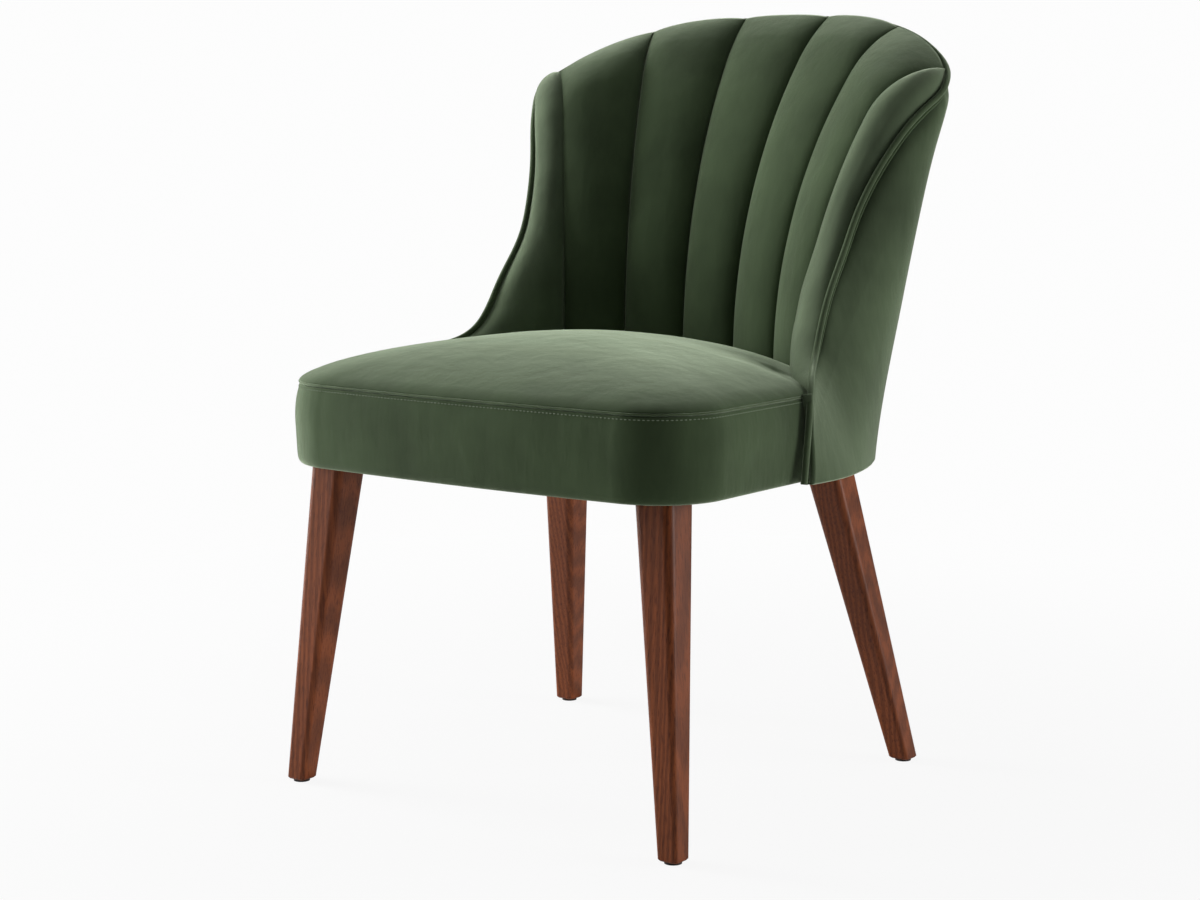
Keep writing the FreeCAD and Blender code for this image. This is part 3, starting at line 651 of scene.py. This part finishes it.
def settled(obj, points, held, cap, share, pressure):
    """Swells a copy of the piece as cloth held at its seams, and moves the piece's points the way the cloth went.

    The given points say how firmly each place is held, from 0 to 1.
    """
    scene = bpy.context.scene
    copy = linked("cloth_copy", obj.data.copy())
    remesh = copy.modifiers.new("Remesh", "REMESH")
    remesh.mode = "VOXEL"
    remesh.voxel_size = CLOTH_VOXEL
    graph = bpy.context.evaluated_depsgraph_get()
    mesh = bpy.data.meshes.new_from_object(copy.evaluated_get(graph), depsgraph=graph)
    copy.modifiers.clear()
    copy.data = mesh
    rest = coordinates(mesh)
    held = np.asarray(held)[:, None]
    grip = nearest_mix(points, held, rest, 1)[:, 0]
    group = copy.vertex_groups.new(name="held")
    steps = np.round(grip * 10).astype(int)
    for level in range(1, 11):
        group.add([int(i) for i in np.flatnonzero(steps == level)], level / 10, "REPLACE")
    cloth = copy.modifiers.new("Cloth", "CLOTH")
    cloth.settings.quality = 4
    cloth.settings.mass = 0.3
    cloth.settings.bending_stiffness = 8.0
    cloth.settings.use_pressure = True
    cloth.settings.uniform_pressure_force = pressure
    cloth.settings.vertex_group_mass = "held"
    cloth.settings.effector_weights.gravity = 0
    cloth.point_cache.frame_start = 1
    cloth.point_cache.frame_end = CLOTH_FRAMES
    for number in range(1, CLOTH_FRAMES + 1):
        scene.frame_set(number)
    graph = bpy.context.evaluated_depsgraph_get()
    moved = coordinates(copy.evaluated_get(graph).data) - rest
    far = np.linalg.norm(moved, axis=1)
    moved *= np.minimum(1, cap / np.maximum(far, 1e-9))[:, None]
    fine = coordinates(obj.data)
    grip = nearest_mix(points, held, fine, 1)[:, 0]
    fine += nearest_mix(rest, moved, fine, 16) * (share * (1 - grip))[:, None]
    obj.data.vertices.foreach_set("co", fine.astype(np.float32).ravel())
    obj.data.update()
    scene.frame_set(1)
    bpy.data.objects.remove(copy)
    bpy.data.meshes.remove(mesh)


# The seat


def crown_height(share):
    """Height share of the cushion at a share of the way from its middle to its edge."""
    return (1 - np.clip(share, 0, 1) ** CROWN_POWER) ** (1 / CROWN_POWER)


class CHAIR_OT_cushion(bpy.types.Operator):
    """Makes the crowned top of the seat"""
    bl_idname = "chair.cushion"
    bl_label = "Seat cushion"

    def execute(self, context):
        seat = context.scene.chair_seat
        seed = context.scene.chair_finish.seed
        around, rings = 420, 64
        edge_z = SEAT_SEAM + 0.0012
        rear_angle = 64.0
        outline = plan(seat.half_width, seat.front_y, seat.bow, seat.corner, seat.waist_y, BARREL - 0.001, rear_angle,
                       around)
        centre = np.array([0, -0.090])
        # a flange under the edge, then the crown
        under = (0.90, 0.95, 0.985)
        shares = np.cos(np.linspace(0.05, math.pi / 2, rings))[:-1]
        loops = [(share, edge_z - 0.012 * (1 - share) / 0.1 - 0.002) for share in under]
        loops += [(share, edge_z + (seat.crown - edge_z) * crown_height(share)) for share in shares]
        loops = np.array([np.column_stack([centre + (outline - centre) * share, np.full(around, z)])
                          for share, z in loops])
        top = loops[len(under):]
        lift = unevenness(top, 0.16, 0.0014, seed) + unevenness(top, 0.05, 0.0004, seed + 3)
        top[:, :, 2] += lift * np.clip((1 - shares) / 0.06, 0, 1)[:, None]
        # the cushion dips where it passes between the wings
        sink = np.exp(-((np.abs(top[:, :, 0]) - 0.212) / 0.040) ** 2 - ((top[:, :, 1] + 0.006) / 0.045) ** 2)
        top[:, :, 2] -= 0.010 * sink * np.clip((1 - shares) / 0.15, 0, 1)[:, None]
        vertices, faces = tube_grid(loops)
        faces = faces[:-1]
        vertices = np.vstack([vertices, [[centre[0], centre[1], top[-1, :, 2].mean()]]])
        last = (len(loops) - 1) * around
        faces += [(last + j, last + (j + 1) % around, len(vertices) - 1) for j in range(around)]
        cushion = piece("seat_cushion", vertices, faces)
        held = np.ones(len(vertices))
        held[len(under) * around:] = np.append(np.repeat(np.clip((shares - 0.93) / 0.06, 0, 1), around), 0)
        settled(cushion, vertices, held, *SEAT_CLOTH)
        dressed(cushion, velvet(), ["seat_top_cover", "seat_foam"])
        return {"FINISHED"}


def band_outline(seat, inset, count):
    """The side band's outline from one wing round the front to the other, at an inset."""
    loop = plan(seat.half_width - inset, seat.front_y + inset, seat.bow, seat.corner - inset, BAND_END_Y + 0.03,
                BARREL - 0.02, 60.0, 2400)
    keep = loop[loop[:, 1] < BAND_END_Y]
    order = np.argsort(np.arctan2(keep[:, 0], -(keep[:, 1] + 0.05)))
    return resampled(keep[order], count)


def band_line(seat, inset, z, count=900):
    """The same outline at one height."""
    return np.column_stack([band_outline(seat, inset, count), np.full(count, z)])


class CHAIR_OT_band(bpy.types.Operator):
    """Makes the upholstered side of the seat, its seam and its row of stitches"""
    bl_idname = "chair.band"
    bl_label = "Seat band, seam and stitches"

    def execute(self, context):
        seat = context.scene.chair_seat
        seed = context.scene.chair_finish.seed
        count = 520
        face = smooth_rows(np.column_stack([BAND_FACE, np.zeros(len(BAND_FACE))]), BAND_ROWS)[:, :2]
        rows = [band_line(seat, inset, SEAT_SEAM + z, count) for inset, z in list(face) + list(BAND_BACK)]
        loops = np.array(rows).transpose(1, 0, 2)
        side = loops[:, :BAND_ROWS]
        wave = unevenness(side, 0.12, 0.0012, seed + 11)
        hold = np.sin(np.linspace(0, 1, BAND_ROWS) * math.pi)[None, :]
        out = unit(side[:, :, :2] - [0, -0.09])
        side[:, :, :2] += out * (wave * hold)[:, :, None]
        band = piece("seat_band_cover", *tube_grid(loops))
        dressed(band, velvet(), ["seat_band", "seat_edge_pad"])

        # the seam takes the piping's lightened copy of the velvet: a painted highlight
        seam = tube("seat_seam", band_line(seat, 0.0007, SEAT_SEAM + 0.0002), 0.00125, 10)
        dressed(seam, velvet("VelvetPiping"), ["seat_piping"])

        row = band_line(seat, -0.0002, SEAT_SEAM - 0.0050)
        thread = plain_cloth("Thread", (0.26, 0.32, 0.22), scale=3000.0)
        stitches = stitched("seat_stitches", row[4:-4], seat.stitch, seat.stitch_pitch, 0.00055, thread)
        dressed(stitches, thread, [])
        return {"FINISHED"}


def tube_shape(path, radius, sides, guide=None, squash=1.0):
    """Vertices and faces of a tube along a path, with closed ends; a squash over 1 widens it square to the guide."""
    along = tangents(path)
    up = np.array([0, 0, 1.0]) if guide is None else guide
    side = unit(np.cross(along, up))
    lift = unit(np.cross(side, along))
    turn = np.linspace(0, 2 * math.pi, sides, endpoint=False)
    loops = path[:, None] + radius * (np.cos(turn)[None, :, None] * side[:, None] * squash +
                                      np.sin(turn)[None, :, None] * lift[:, None])
    return tube_grid(loops)


def tube(name, path, radius, sides, guide=None):
    return piece(name, *tube_shape(path, radius, sides, guide))


def stitch_tree():
    """Geometry nodes that lay stitches along a curve."""
    tree = bpy.data.node_groups.new("StitchRow", "GeometryNodeTree")
    tree.interface.new_socket("Geometry", in_out="INPUT", socket_type="NodeSocketGeometry")
    for label, value in (("Length", 0.0027), ("Pitch", 0.0038), ("Radius", 0.0003)):
        socket = tree.interface.new_socket(label, in_out="INPUT", socket_type="NodeSocketFloat")
        socket.default_value = value
    tree.interface.new_socket("Material", in_out="INPUT", socket_type="NodeSocketMaterial")
    tree.interface.new_socket("Geometry", in_out="OUTPUT", socket_type="NodeSocketGeometry")
    source = tree.nodes.new("NodeGroupInput")
    result = tree.nodes.new("NodeGroupOutput")
    even = add(tree, "GeometryNodeResampleCurve", mode="LENGTH")
    ball = add(tree, "GeometryNodeMeshUVSphere", Segments=8, Rings=5, Radius=1.0)
    lay = tree.nodes.new("GeometryNodeInstanceOnPoints")
    tangent = tree.nodes.new("GeometryNodeInputTangent")
    turn = add(tree, "FunctionNodeAlignRotationToVector", axis="X")
    half = add(tree, "ShaderNodeMath", operation="MULTIPLY")
    half.inputs[1].default_value = 0.5
    size = tree.nodes.new("ShaderNodeCombineXYZ")
    real = tree.nodes.new("GeometryNodeRealizeInstances")
    paint = tree.nodes.new("GeometryNodeSetMaterial")
    wire(tree,
         (source, "Geometry", even, "Curve"), (source, "Pitch", even, "Length"),
         (even, "Curve", lay, "Points"), (ball, "Mesh", lay, "Instance"),
         (tangent, "Tangent", turn, "Vector"), (turn, "Rotation", lay, "Rotation"),
         (source, "Length", half, 0), (half, "Value", size, "X"),
         (source, "Radius", size, "Y"), (source, "Radius", size, "Z"), (size, "Vector", lay, "Scale"),
         (lay, "Instances", real, "Geometry"), (real, "Geometry", paint, "Geometry"),
         (source, "Material", paint, "Material"), (paint, "Geometry", result, "Geometry"))
    return tree


def stitched(name, path, length, pitch, radius, material):
    """A row of stitches along a path, as a plain mesh."""
    curve = bpy.data.curves.new(name, "CURVE")
    curve.dimensions = "3D"
    spline = curve.splines.new("POLY")
    spline.points.add(len(path) - 1)
    for point, place in zip(spline.points, path):
        point.co = (*place, 1)
    holder = linked(name + "_path", curve)
    tree = bpy.data.node_groups.get("StitchRow") or stitch_tree()
    modifier = holder.modifiers.new("Stitches", "NODES")
    modifier.node_group = tree
    sockets = {item.name: item.identifier for item in tree.interface.items_tree if item.in_out == "INPUT"}
    modifier[sockets["Length"]] = length
    modifier[sockets["Pitch"]] = pitch
    modifier[sockets["Radius"]] = radius
    modifier[sockets["Material"]] = material
    graph = bpy.context.evaluated_depsgraph_get()
    mesh = bpy.data.meshes.new_from_object(holder.evaluated_get(graph), depsgraph=graph)
    made = linked(name, mesh)
    bpy.data.objects.remove(holder)
    mesh.shade_smooth()
    return made


# The back


def fullness(share, power):
    """How far a stuffed strip has risen at a share of the way from one seam to the other."""
    return (1 - np.abs(2 * share - 1) ** 2.4) ** power


def channel_piece(name, low_angle, high_angle, back, seed):
    """One stuffed channel between two seams, from behind the cushion over the roll to the rim."""
    rows, cols = 150, 34
    gap = 0.05
    low_z = 0.430
    shares = even_cosine(cols)
    angles = low_angle + gap + shares * (high_angle - low_angle - 2 * gap)
    base, normal = inner_grid(angles, low_z, rows)
    up = np.linspace(0, 1, rows)
    # the outer channels flatten further before they meet the rim
    outer = max(abs(low_angle), abs(high_angle)) > SEAMS[1] + 1
    reach, power, least = (0.20, 1.1, 0.15) if outer else (0.10, 0.8, 0.30)
    rim_fade = np.clip((1 - up) / reach, 0, 1) ** power
    full = fullness(shares, 0.62)[None, :]
    swell = -back.seam_depth + (back.crown + back.seam_depth) * full
    swell = swell * (least + (1 - least) * rim_fade)[:, None]
    swell += unevenness(base, 0.07, 0.0010, seed) * full * rim_fade[:, None]
    front = base + normal * swell[:, :, None]
    depth = np.interp(up, [0, 0.85, 1], [0.014, 0.014, 0.005])[:, None, None]
    rear = base - normal * depth
    loops = np.concatenate([front, rear[:, ::-1][:, ::3]], axis=1)
    vertices, faces = tube_grid(loops)
    made = piece(name, vertices, faces)
    held = np.ones(loops.shape[:2])
    held[:, :cols] = 1 - np.clip(full * rim_fade[:, None] * 1.4 - 0.2, 0, 1)
    settled(made, vertices, held.ravel(), *BACK_CLOTH)
    return made


class CHAIR_OT_channels(bpy.types.Operator):
    """Makes the five stuffed channels of the inner back"""
    bl_idname = "chair.channels"
    bl_label = "Back channels"

    def execute(self, context):
        back = context.scene.chair_back
        seed = context.scene.chair_finish.seed
        first, second, third = SEAMS
        spans = (("channel_centre", -first, first), ("channel_inner_right", first, second),
                 ("channel_inner_left", -second, -first), ("channel_outer_right", second, third),
                 ("channel_outer_left", -third, -second))
        for number, (node, low, high) in enumerate(spans):
            made = channel_piece("padded_" + node, low, high, back, seed + number)
            dressed(made, velvet(), [node])
        return {"FINISHED"}


def wing_surface(cols):
    """Plain surface of the right wing, from the outermost seam to the piping, before its padding swells.

    Gives the grid, its normals, each row's padding, the shares across, and how far each row lies behind the cushion.
    """
    edge = back_edge()[0]
    low_z, turn_z, tuck_z = 0.395, 0.690, 0.505
    foot = int(np.argmax(edge[:, 2] > low_z))
    top = int(np.argmax(to_polar(edge)[:, 0] < RIM_CORNER + 0.3))
    edge = resampled(edge[foot:top], 190)
    rim = edge[:, :3]
    # each station on the rim has a partner on the seam: level with it at first, then shared out round the corner
    profile = back_profile(SEAMS[2], 0.380, 1200)
    length = np.linspace(0, 1, len(profile))
    climb = int(np.argmax(profile[:, 1]))
    level = np.interp(rim[:, 2], profile[:climb, 1], length[:climb])
    start = np.interp(turn_z, profile[:climb, 1], length[:climb])
    run = run_length(rim)
    run_start = np.interp(turn_z, rim[:, 2], run)
    share = np.clip((run - run_start) / (run[-1] - run_start), 0, 1)
    place = np.where(rim[:, 2] < turn_z, level, start + (1 - start) * share)
    place = softened(place[:, None], 200)[:, 0]
    seam = np.stack([np.interp(place, length, profile[:, k]) for k in range(2)], axis=1)
    seam_points = polar(SEAMS[2] + 0.05, seam[:, 0], seam[:, 1])
    border = rim + unit(seam_points - rim) * 0.0036
    ends = [to_polar(points) for points in (seam_points, border)]
    shares = even_cosine(cols)
    mixed = ends[0][:, None] * (1 - shares)[None, :, None] + ends[1][:, None] * shares[None, :, None]
    # near the seat the wing keeps to the barrel and turns out only beside the piping
    low = np.clip((tuck_z - rim[:, 2]) / 0.03, 0, 1)
    inside = shares[None, :] ** (1 + 3 * low[:, None])
    mixed[:, :, 1] = ends[0][:, None, 1] * (1 - inside) + ends[1][:, None, 1] * inside
    base = polar(mixed[:, :, 0], mixed[:, :, 1], mixed[:, :, 2])
    normal = grid_normals(base)
    toward = np.array([0, AXIS_Y, 0]) - base
    toward[:, :, 2] = 0.1
    flip = np.sign((normal * toward).sum(axis=2, keepdims=True))
    normal = normal * np.where(flip == 0, 1, flip)
    normal[-12:] = normal[-12]
    return base, normal, edge[:, 7], shares, low


class CHAIR_OT_wings(bpy.types.Operator):
    """Makes the padded wing at each side of the back"""
    bl_idname = "chair.wings"
    bl_label = "Wings"

    def execute(self, context):
        back = context.scene.chair_back
        seed = context.scene.chair_finish.seed
        base, normal, padding, shares, low = wing_surface(46)
        width = np.linalg.norm(base[:, -1] - base[:, 0], axis=1)
        sunk = back.seam_depth * 0.7
        crown = np.minimum(back.wing_crown * padding, 0.25 * width)
        shape = fullness(shares ** 1.1, 0.65)[None, :]
        swell = -sunk + (crown[:, None] + sunk) * shape
        # below, a narrow fold of the same cloth closes the gap between the seat's band and the piping
        rise = np.linspace(0, 1, 40)
        run = np.column_stack([0.2775 - 0.0030 * rise ** 3, np.full(40, -0.0810), SEAT_BOTTOM + 0.003 + 0.0895 * rise])
        fold, fold_faces = tube_shape(run, 0.0022, 12, guide=np.array([0, 1.0, 0]), squash=2.9)
        for side, sign in (("right", 1), ("left", -1)):
            bumps = unevenness(base, 0.08, 0.0009, seed + 20 + sign) * shape
            front = base + normal * (swell + bumps)[:, :, None]
            depth = 0.0010 + 0.008 * (1 - shares)[None, :] ** 0.7 * (1 - 0.95 * low)[:, None]
            rear = base - normal * depth[:, :, None]
            loops = np.concatenate([front, rear[:, ::-1][:, ::3]], axis=1) * [sign, 1, 1]
            vertices, faces = tube_grid(loops)
            faces += [[i + len(vertices) for i in face] for face in fold_faces]
            vertices = np.vstack([vertices, fold * [sign, 1, 1]])
            made = piece("padded_wing_" + side, vertices, faces)
            free = np.clip(shape * np.clip(width / 0.03, 0, 1)[:, None] * (1 - low)[:, None], 0, 1)
            held = np.ones(loops.shape[:2])
            held[:, :len(shares)] = 1 - free
            held = np.append(held.ravel(), np.ones(len(fold)))
            settled(made, vertices, held, *BACK_CLOTH)
            # the wing's copy of the velvet is lightened: painted light standing in for the brighter sheen on the wings
            dressed(made, velvet("VelvetWing"), ["wing_" + side])
        return {"FINISHED"}


def outer_cover(back, seed):
    """The outer cover's face from the rolled edge down, the hem's edge under the seat, and the level direction out."""
    edge, outward, reach, first, last = back_edge()
    pick = np.linspace(first, last - 1, 470).astype(int)
    rim, foot, off = edge[pick, :3], edge[pick, 3:6], edge[pick, 6]
    outward, reach = outward[pick], reach[pick]
    begin = rim + reach * (back.welt + 1.7 * back.lip)
    shares = np.linspace(0, 1, 76) ** 1.15
    bow = 4 * shares * (1 - shares)
    puff = (shares / 0.05) * np.exp(1 - shares / 0.05)
    # the cover is tucked in beside the rolled edge, and pulled round each top corner: fuller there, with short creases
    tuck = 0.0045 * np.exp(-shares / 0.016)
    angle = np.abs(to_polar(rim)[:, 0])
    corner = np.exp(-((angle - 41.0) / 4.0) ** 2) * np.clip((rim[:, 2] - 0.66) / 0.08, 0, 1)
    crease = np.cos(run_length(rim) * 2 * math.pi / 0.016) * corner
    crease_fade = np.exp(-shares / 0.035) * np.clip(shares / 0.015, 0, 1)
    stand = ((0.0008 + 0.0060 * corner)[:, None] * puff[None, :] - tuck +
             0.0005 * crease[:, None] * crease_fade[None, :])
    face = begin[:, None] + (foot - begin)[:, None] * shares[None, :, None]
    face = face + outward[:, None] * (off[:, None] * bow)[:, :, None]
    # the stretched cloth runs smoothly between its edges
    turned = to_polar(face)
    weight = np.clip(1.5 * np.sin(shares * math.pi), 0, 1)[None, :, None] * 0.5
    for _ in range(260):
        turned[1:-1] += weight * ((turned[:-2] + turned[2:]) / 2 - turned[1:-1])
    face = polar(turned[:, :, 0], turned[:, :, 1], turned[:, :, 2]) + outward[:, None] * stand[:, :, None]
    wave = unevenness(face, 0.17, 0.0014, seed + 40) * np.sin(shares * math.pi)[None, :]
    face += outward[:, None] * wave[:, :, None]
    # the hem turns under in a small radius
    height = np.clip(face[:, :, 2] - SEAT_BOTTOM, 0, HEM_RADIUS)
    turn_in = HEM_RADIUS - np.sqrt(HEM_RADIUS ** 2 - (HEM_RADIUS - height) ** 2)
    face -= outward[:, None] * turn_in[:, :, None]
    return face, face[:, -1] - outward * 0.012 + [0, 0, 0.0004], outward


class CHAIR_OT_outer_back(bpy.types.Operator):
    """Makes the outer cover of the back, stretched from the rim to the seat's underside"""
    bl_idname = "chair.outer_back"
    bl_label = "Outer back"

    def execute(self, context):
        scene = context.scene
        face, hem, outward = outer_cover(scene.chair_back, scene.chair_finish.seed)
        inner = face[:, ::-1] - outward[:, None] * 0.006
        inner[:, 0] = hem + [0, 0, 0.004]
        cover = piece("outer_back_velvet", *tube_grid(np.concatenate([face, hem[:, None], inner], axis=1)))
        # the outer cover's copy of the velvet is lightened: painted sheen standing in for its brighter grazing light
        dressed(cover, velvet("VelvetOuter"), ["outer_back_cover", "outer_back_pad"])
        return {"FINISHED"}


class CHAIR_OT_dust_sheet(bpy.types.Operator):
    """Makes the dust cover that is stretched under the seat"""
    bl_idname = "chair.dust_sheet"
    bl_label = "Dust cover"

    def execute(self, context):
        scene = context.scene
        _, hem, outward = outer_cover(scene.chair_back, scene.chair_finish.seed)
        front = band_outline(scene.chair_seat, 0.0105, 240)
        rear = (hem - outward * 0.001)[hem[:, 1] > -0.072][::2, :2]
        if (front[0, 0] < 0) != (rear[-1, 0] < 0):
            rear = rear[::-1]
        count = 600
        outline = resampled(np.vstack([front, rear]), count, closed=True)
        middle = np.array([0, -0.02])
        # share of the way out, and how far the cloth sags there
        rings = ((1.0, 0.0), (0.985, 0.0004), (0.95, 0.0008), (0.85, 0.0014), (0.7, 0.002), (0.5, 0.0026),
                 (0.25, 0.003), (0.02, 0.003))
        low = [np.column_stack([middle + (outline - middle) * share, np.full(count, SEAT_BOTTOM - 0.0005 - drop)])
               for share, drop in rings]
        high = [row + [0, 0, 0.0006] for row in low]
        sheet = piece("dust_sheet", *tube_grid(np.array(low[::-1] + high)))
        dressed(sheet, lining_cloth(), ["dust_cover"])
        return {"FINISHED"}


class CHAIR_OT_piping(bpy.types.Operator):
    """Makes the piping round the back and the rolled edge beside it"""
    bl_idname = "chair.piping"
    bl_label = "Piping"

    def execute(self, context):
        back = context.scene.chair_back
        edge, _, reach, _, _ = back_edge()
        path = edge[:, :3]
        main = tube("piping", path, back.welt, 18, guide=reach)
        # the piping's copy of the velvet is lightened: a painted highlight on the cord
        dressed(main, velvet("VelvetPiping"), ["back_piping"])
        lip = tube("rolled_edge", path + reach * (back.welt + back.lip * 1.2), back.lip, 14, guide=reach)
        dressed(lip, velvet(), [])
        return {"FINISHED"}


# Finishes of the frame's own pieces


class CHAIR_OT_frame_finish(bpy.types.Operator):
    """Gives the legs, the hidden frame and the small metal pieces their finish"""
    bl_idname = "chair.frame_finish"
    bl_label = "Legs and frame"

    def execute(self, context):
        finish = context.scene.chair_finish
        beech = wood("Beech", (0.38, 0.24, 0.13), (0.62, 0.45, 0.28), 0.0)
        finishes = {
            "walnut": wood("Walnut", finish.walnut_dark, finish.walnut_light, 0.06),
            "frame_beech": beech,
            "plywood": beech,
            "glide_nylon": plain_cloth("GlideNylon", (0.030, 0.020, 0.015), 0.5, 300.0, 0.05),
            "zinc_steel": zinc_plate(),
            "webbing": plain_cloth("Webbing", (0.035, 0.033, 0.030), 0.9, 700.0),
            "lining": lining_cloth(),
            "foam": plain_cloth("Foam", (0.75, 0.68, 0.45), 0.95, 900.0),
        }
        slots = {row["node"]: row["material_slot"] for row in frame["record"]["subparts"]}
        for node, obj in frame["nodes"].items():
            if slots[node] in finishes:
                obj.data.materials.clear()
                obj.data.materials.append(finishes[slots[node]])
        return {"FINISHED"}


# Stage


def floor_material():
    """A pale floor that takes the chair's shadow and shows nearly white to the camera."""
    material, tree, shader = new_material("Floor")
    set_up(shader, Base_Color=(0.86, 0.86, 0.86, 1), Roughness=0.9)
    glow = add(tree, "ShaderNodeEmission", Color=(1, 1, 1, 1), Strength=0.98)
    path = tree.nodes.new("ShaderNodeLightPath")
    place = tree.nodes.new("ShaderNodeTexCoord")
    away = add(tree, "ShaderNodeVectorMath", operation="LENGTH")
    # away from the chair the floor's own light takes over
    fade = add(tree, "ShaderNodeMapRange", interpolation_type="SMOOTHSTEP", From_Min=0.35, From_Max=1.5, To_Min=0.925,
               To_Max=1.0)
    share = add(tree, "ShaderNodeMath", operation="MULTIPLY")
    mix = tree.nodes.new("ShaderNodeMixShader")
    wire(tree,
         (place, "Object", away, 0), (away, "Value", fade, "Value"), (fade, "Result", share, 1),
         (path, "Is Camera Ray", share, 0), (share, "Value", mix, "Fac"),
         (shader, "BSDF", mix, 1), (glow, "Emission", mix, 2),
         (mix, "Shader", tree.nodes["Material Output"], "Surface"))
    return material


def studio_world():
    """A faint even light on the chair, and white where the camera looks past it."""
    world = bpy.data.worlds.new("Studio")
    world.use_nodes = True
    tree = world.node_tree
    faint = tree.nodes["Background"]
    set_up(faint, Color=(0.97, 0.98, 1.0, 1), Strength=0.04)
    white = add(tree, "ShaderNodeBackground", Color=(1, 1, 1, 1), Strength=0.98)
    path = tree.nodes.new("ShaderNodeLightPath")
    seen = add(tree, "ShaderNodeMath", operation="MAXIMUM")
    mix = tree.nodes.new("ShaderNodeMixShader")
    wire(tree,
         (path, "Is Camera Ray", seen, 0), (path, "Is Transmission Ray", seen, 1), (seen, "Value", mix, "Fac"),
         (faint, "Background", mix, 1), (white, "Background", mix, 2),
         (mix, "Shader", tree.nodes["World Output"], "Surface"))
    return world


class CHAIR_OT_stage(bpy.types.Operator):
    """Makes the floor, the lamps and the camera"""
    bl_idname = "chair.stage"
    bl_label = "Stage"

    def execute(self, context):
        scene = context.scene
        mesh = bpy.data.meshes.new("floor")
        corners = [(-1, -1), (1, -1), (1, 1), (-1, 1)]
        mesh.from_pydata([(x * FLOOR_REACH, y * FLOOR_REACH, 0) for x, y in corners], [], [(0, 1, 2, 3)])
        mesh.materials.append(floor_material())
        linked("floor", mesh)
        scene.world = studio_world()

        for name, place, size, power in LAMPS:
            data = bpy.data.lights.new(name, "AREA")
            data.size = size
            data.energy = power
            lamp = linked(name, data)
            lamp.location = place
            lamp.rotation_euler = (Vector(LAMP_TARGET) - Vector(place)).to_track_quat("-Z", "Y").to_euler()

        data = bpy.data.cameras.new("camera")
        data.lens = CAMERA_LENS
        data.sensor_width = CAMERA_SENSOR
        data.clip_start = 0.05
        camera = linked("camera", data)
        camera.location = CAMERA_PLACE
        camera.rotation_euler = [math.radians(turn) for turn in CAMERA_TURN]
        scene.camera = camera
        scene.view_settings.view_transform = "Standard"
        return {"FINISHED"}


class CHAIR_PT_panel(bpy.types.Panel):
    """Lists the chair's pieces and sizes"""
    bl_idname = "CHAIR_PT_panel"
    bl_label = "Chair"
    bl_space_type = "VIEW_3D"
    bl_region_type = "UI"
    bl_category = "Chair"

    def draw(self, context):
        for operator in OPERATORS:
            self.layout.operator(operator.bl_idname)
        for group in (context.scene.chair_seat, context.scene.chair_back, context.scene.chair_finish):
            box = self.layout.box()
            for key in group.__annotations__:
                box.prop(group, key)


GROUPS = (("chair_seat", ChairSeat), ("chair_back", ChairBack), ("chair_finish", ChairFinish))
OPERATORS = (CHAIR_OT_cushion, CHAIR_OT_band, CHAIR_OT_channels, CHAIR_OT_wings, CHAIR_OT_outer_back,
             CHAIR_OT_dust_sheet, CHAIR_OT_piping, CHAIR_OT_frame_finish, CHAIR_OT_stage)


def register():
    for name, group in GROUPS:
        bpy.utils.register_class(group)
        setattr(bpy.types.Scene, name, PointerProperty(type=group))
    for operator in OPERATORS:
        bpy.utils.register_class(operator)
    bpy.utils.register_class(CHAIR_PT_panel)


def unregister():
    bpy.utils.unregister_class(CHAIR_PT_panel)
    for operator in OPERATORS:
        bpy.utils.unregister_class(operator)
    for name, group in GROUPS:
        delattr(bpy.types.Scene, name)
        bpy.utils.unregister_class(group)


def main():
    register()
    bpy.ops.chair.cushion()
    bpy.ops.chair.band()
    bpy.ops.chair.channels()
    bpy.ops.chair.wings()
    bpy.ops.chair.outer_back()
    bpy.ops.chair.dust_sheet()
    bpy.ops.chair.piping()
    bpy.ops.chair.frame_finish()
    bpy.ops.chair.stage()
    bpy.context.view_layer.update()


if __name__ == "__main__":
    main()
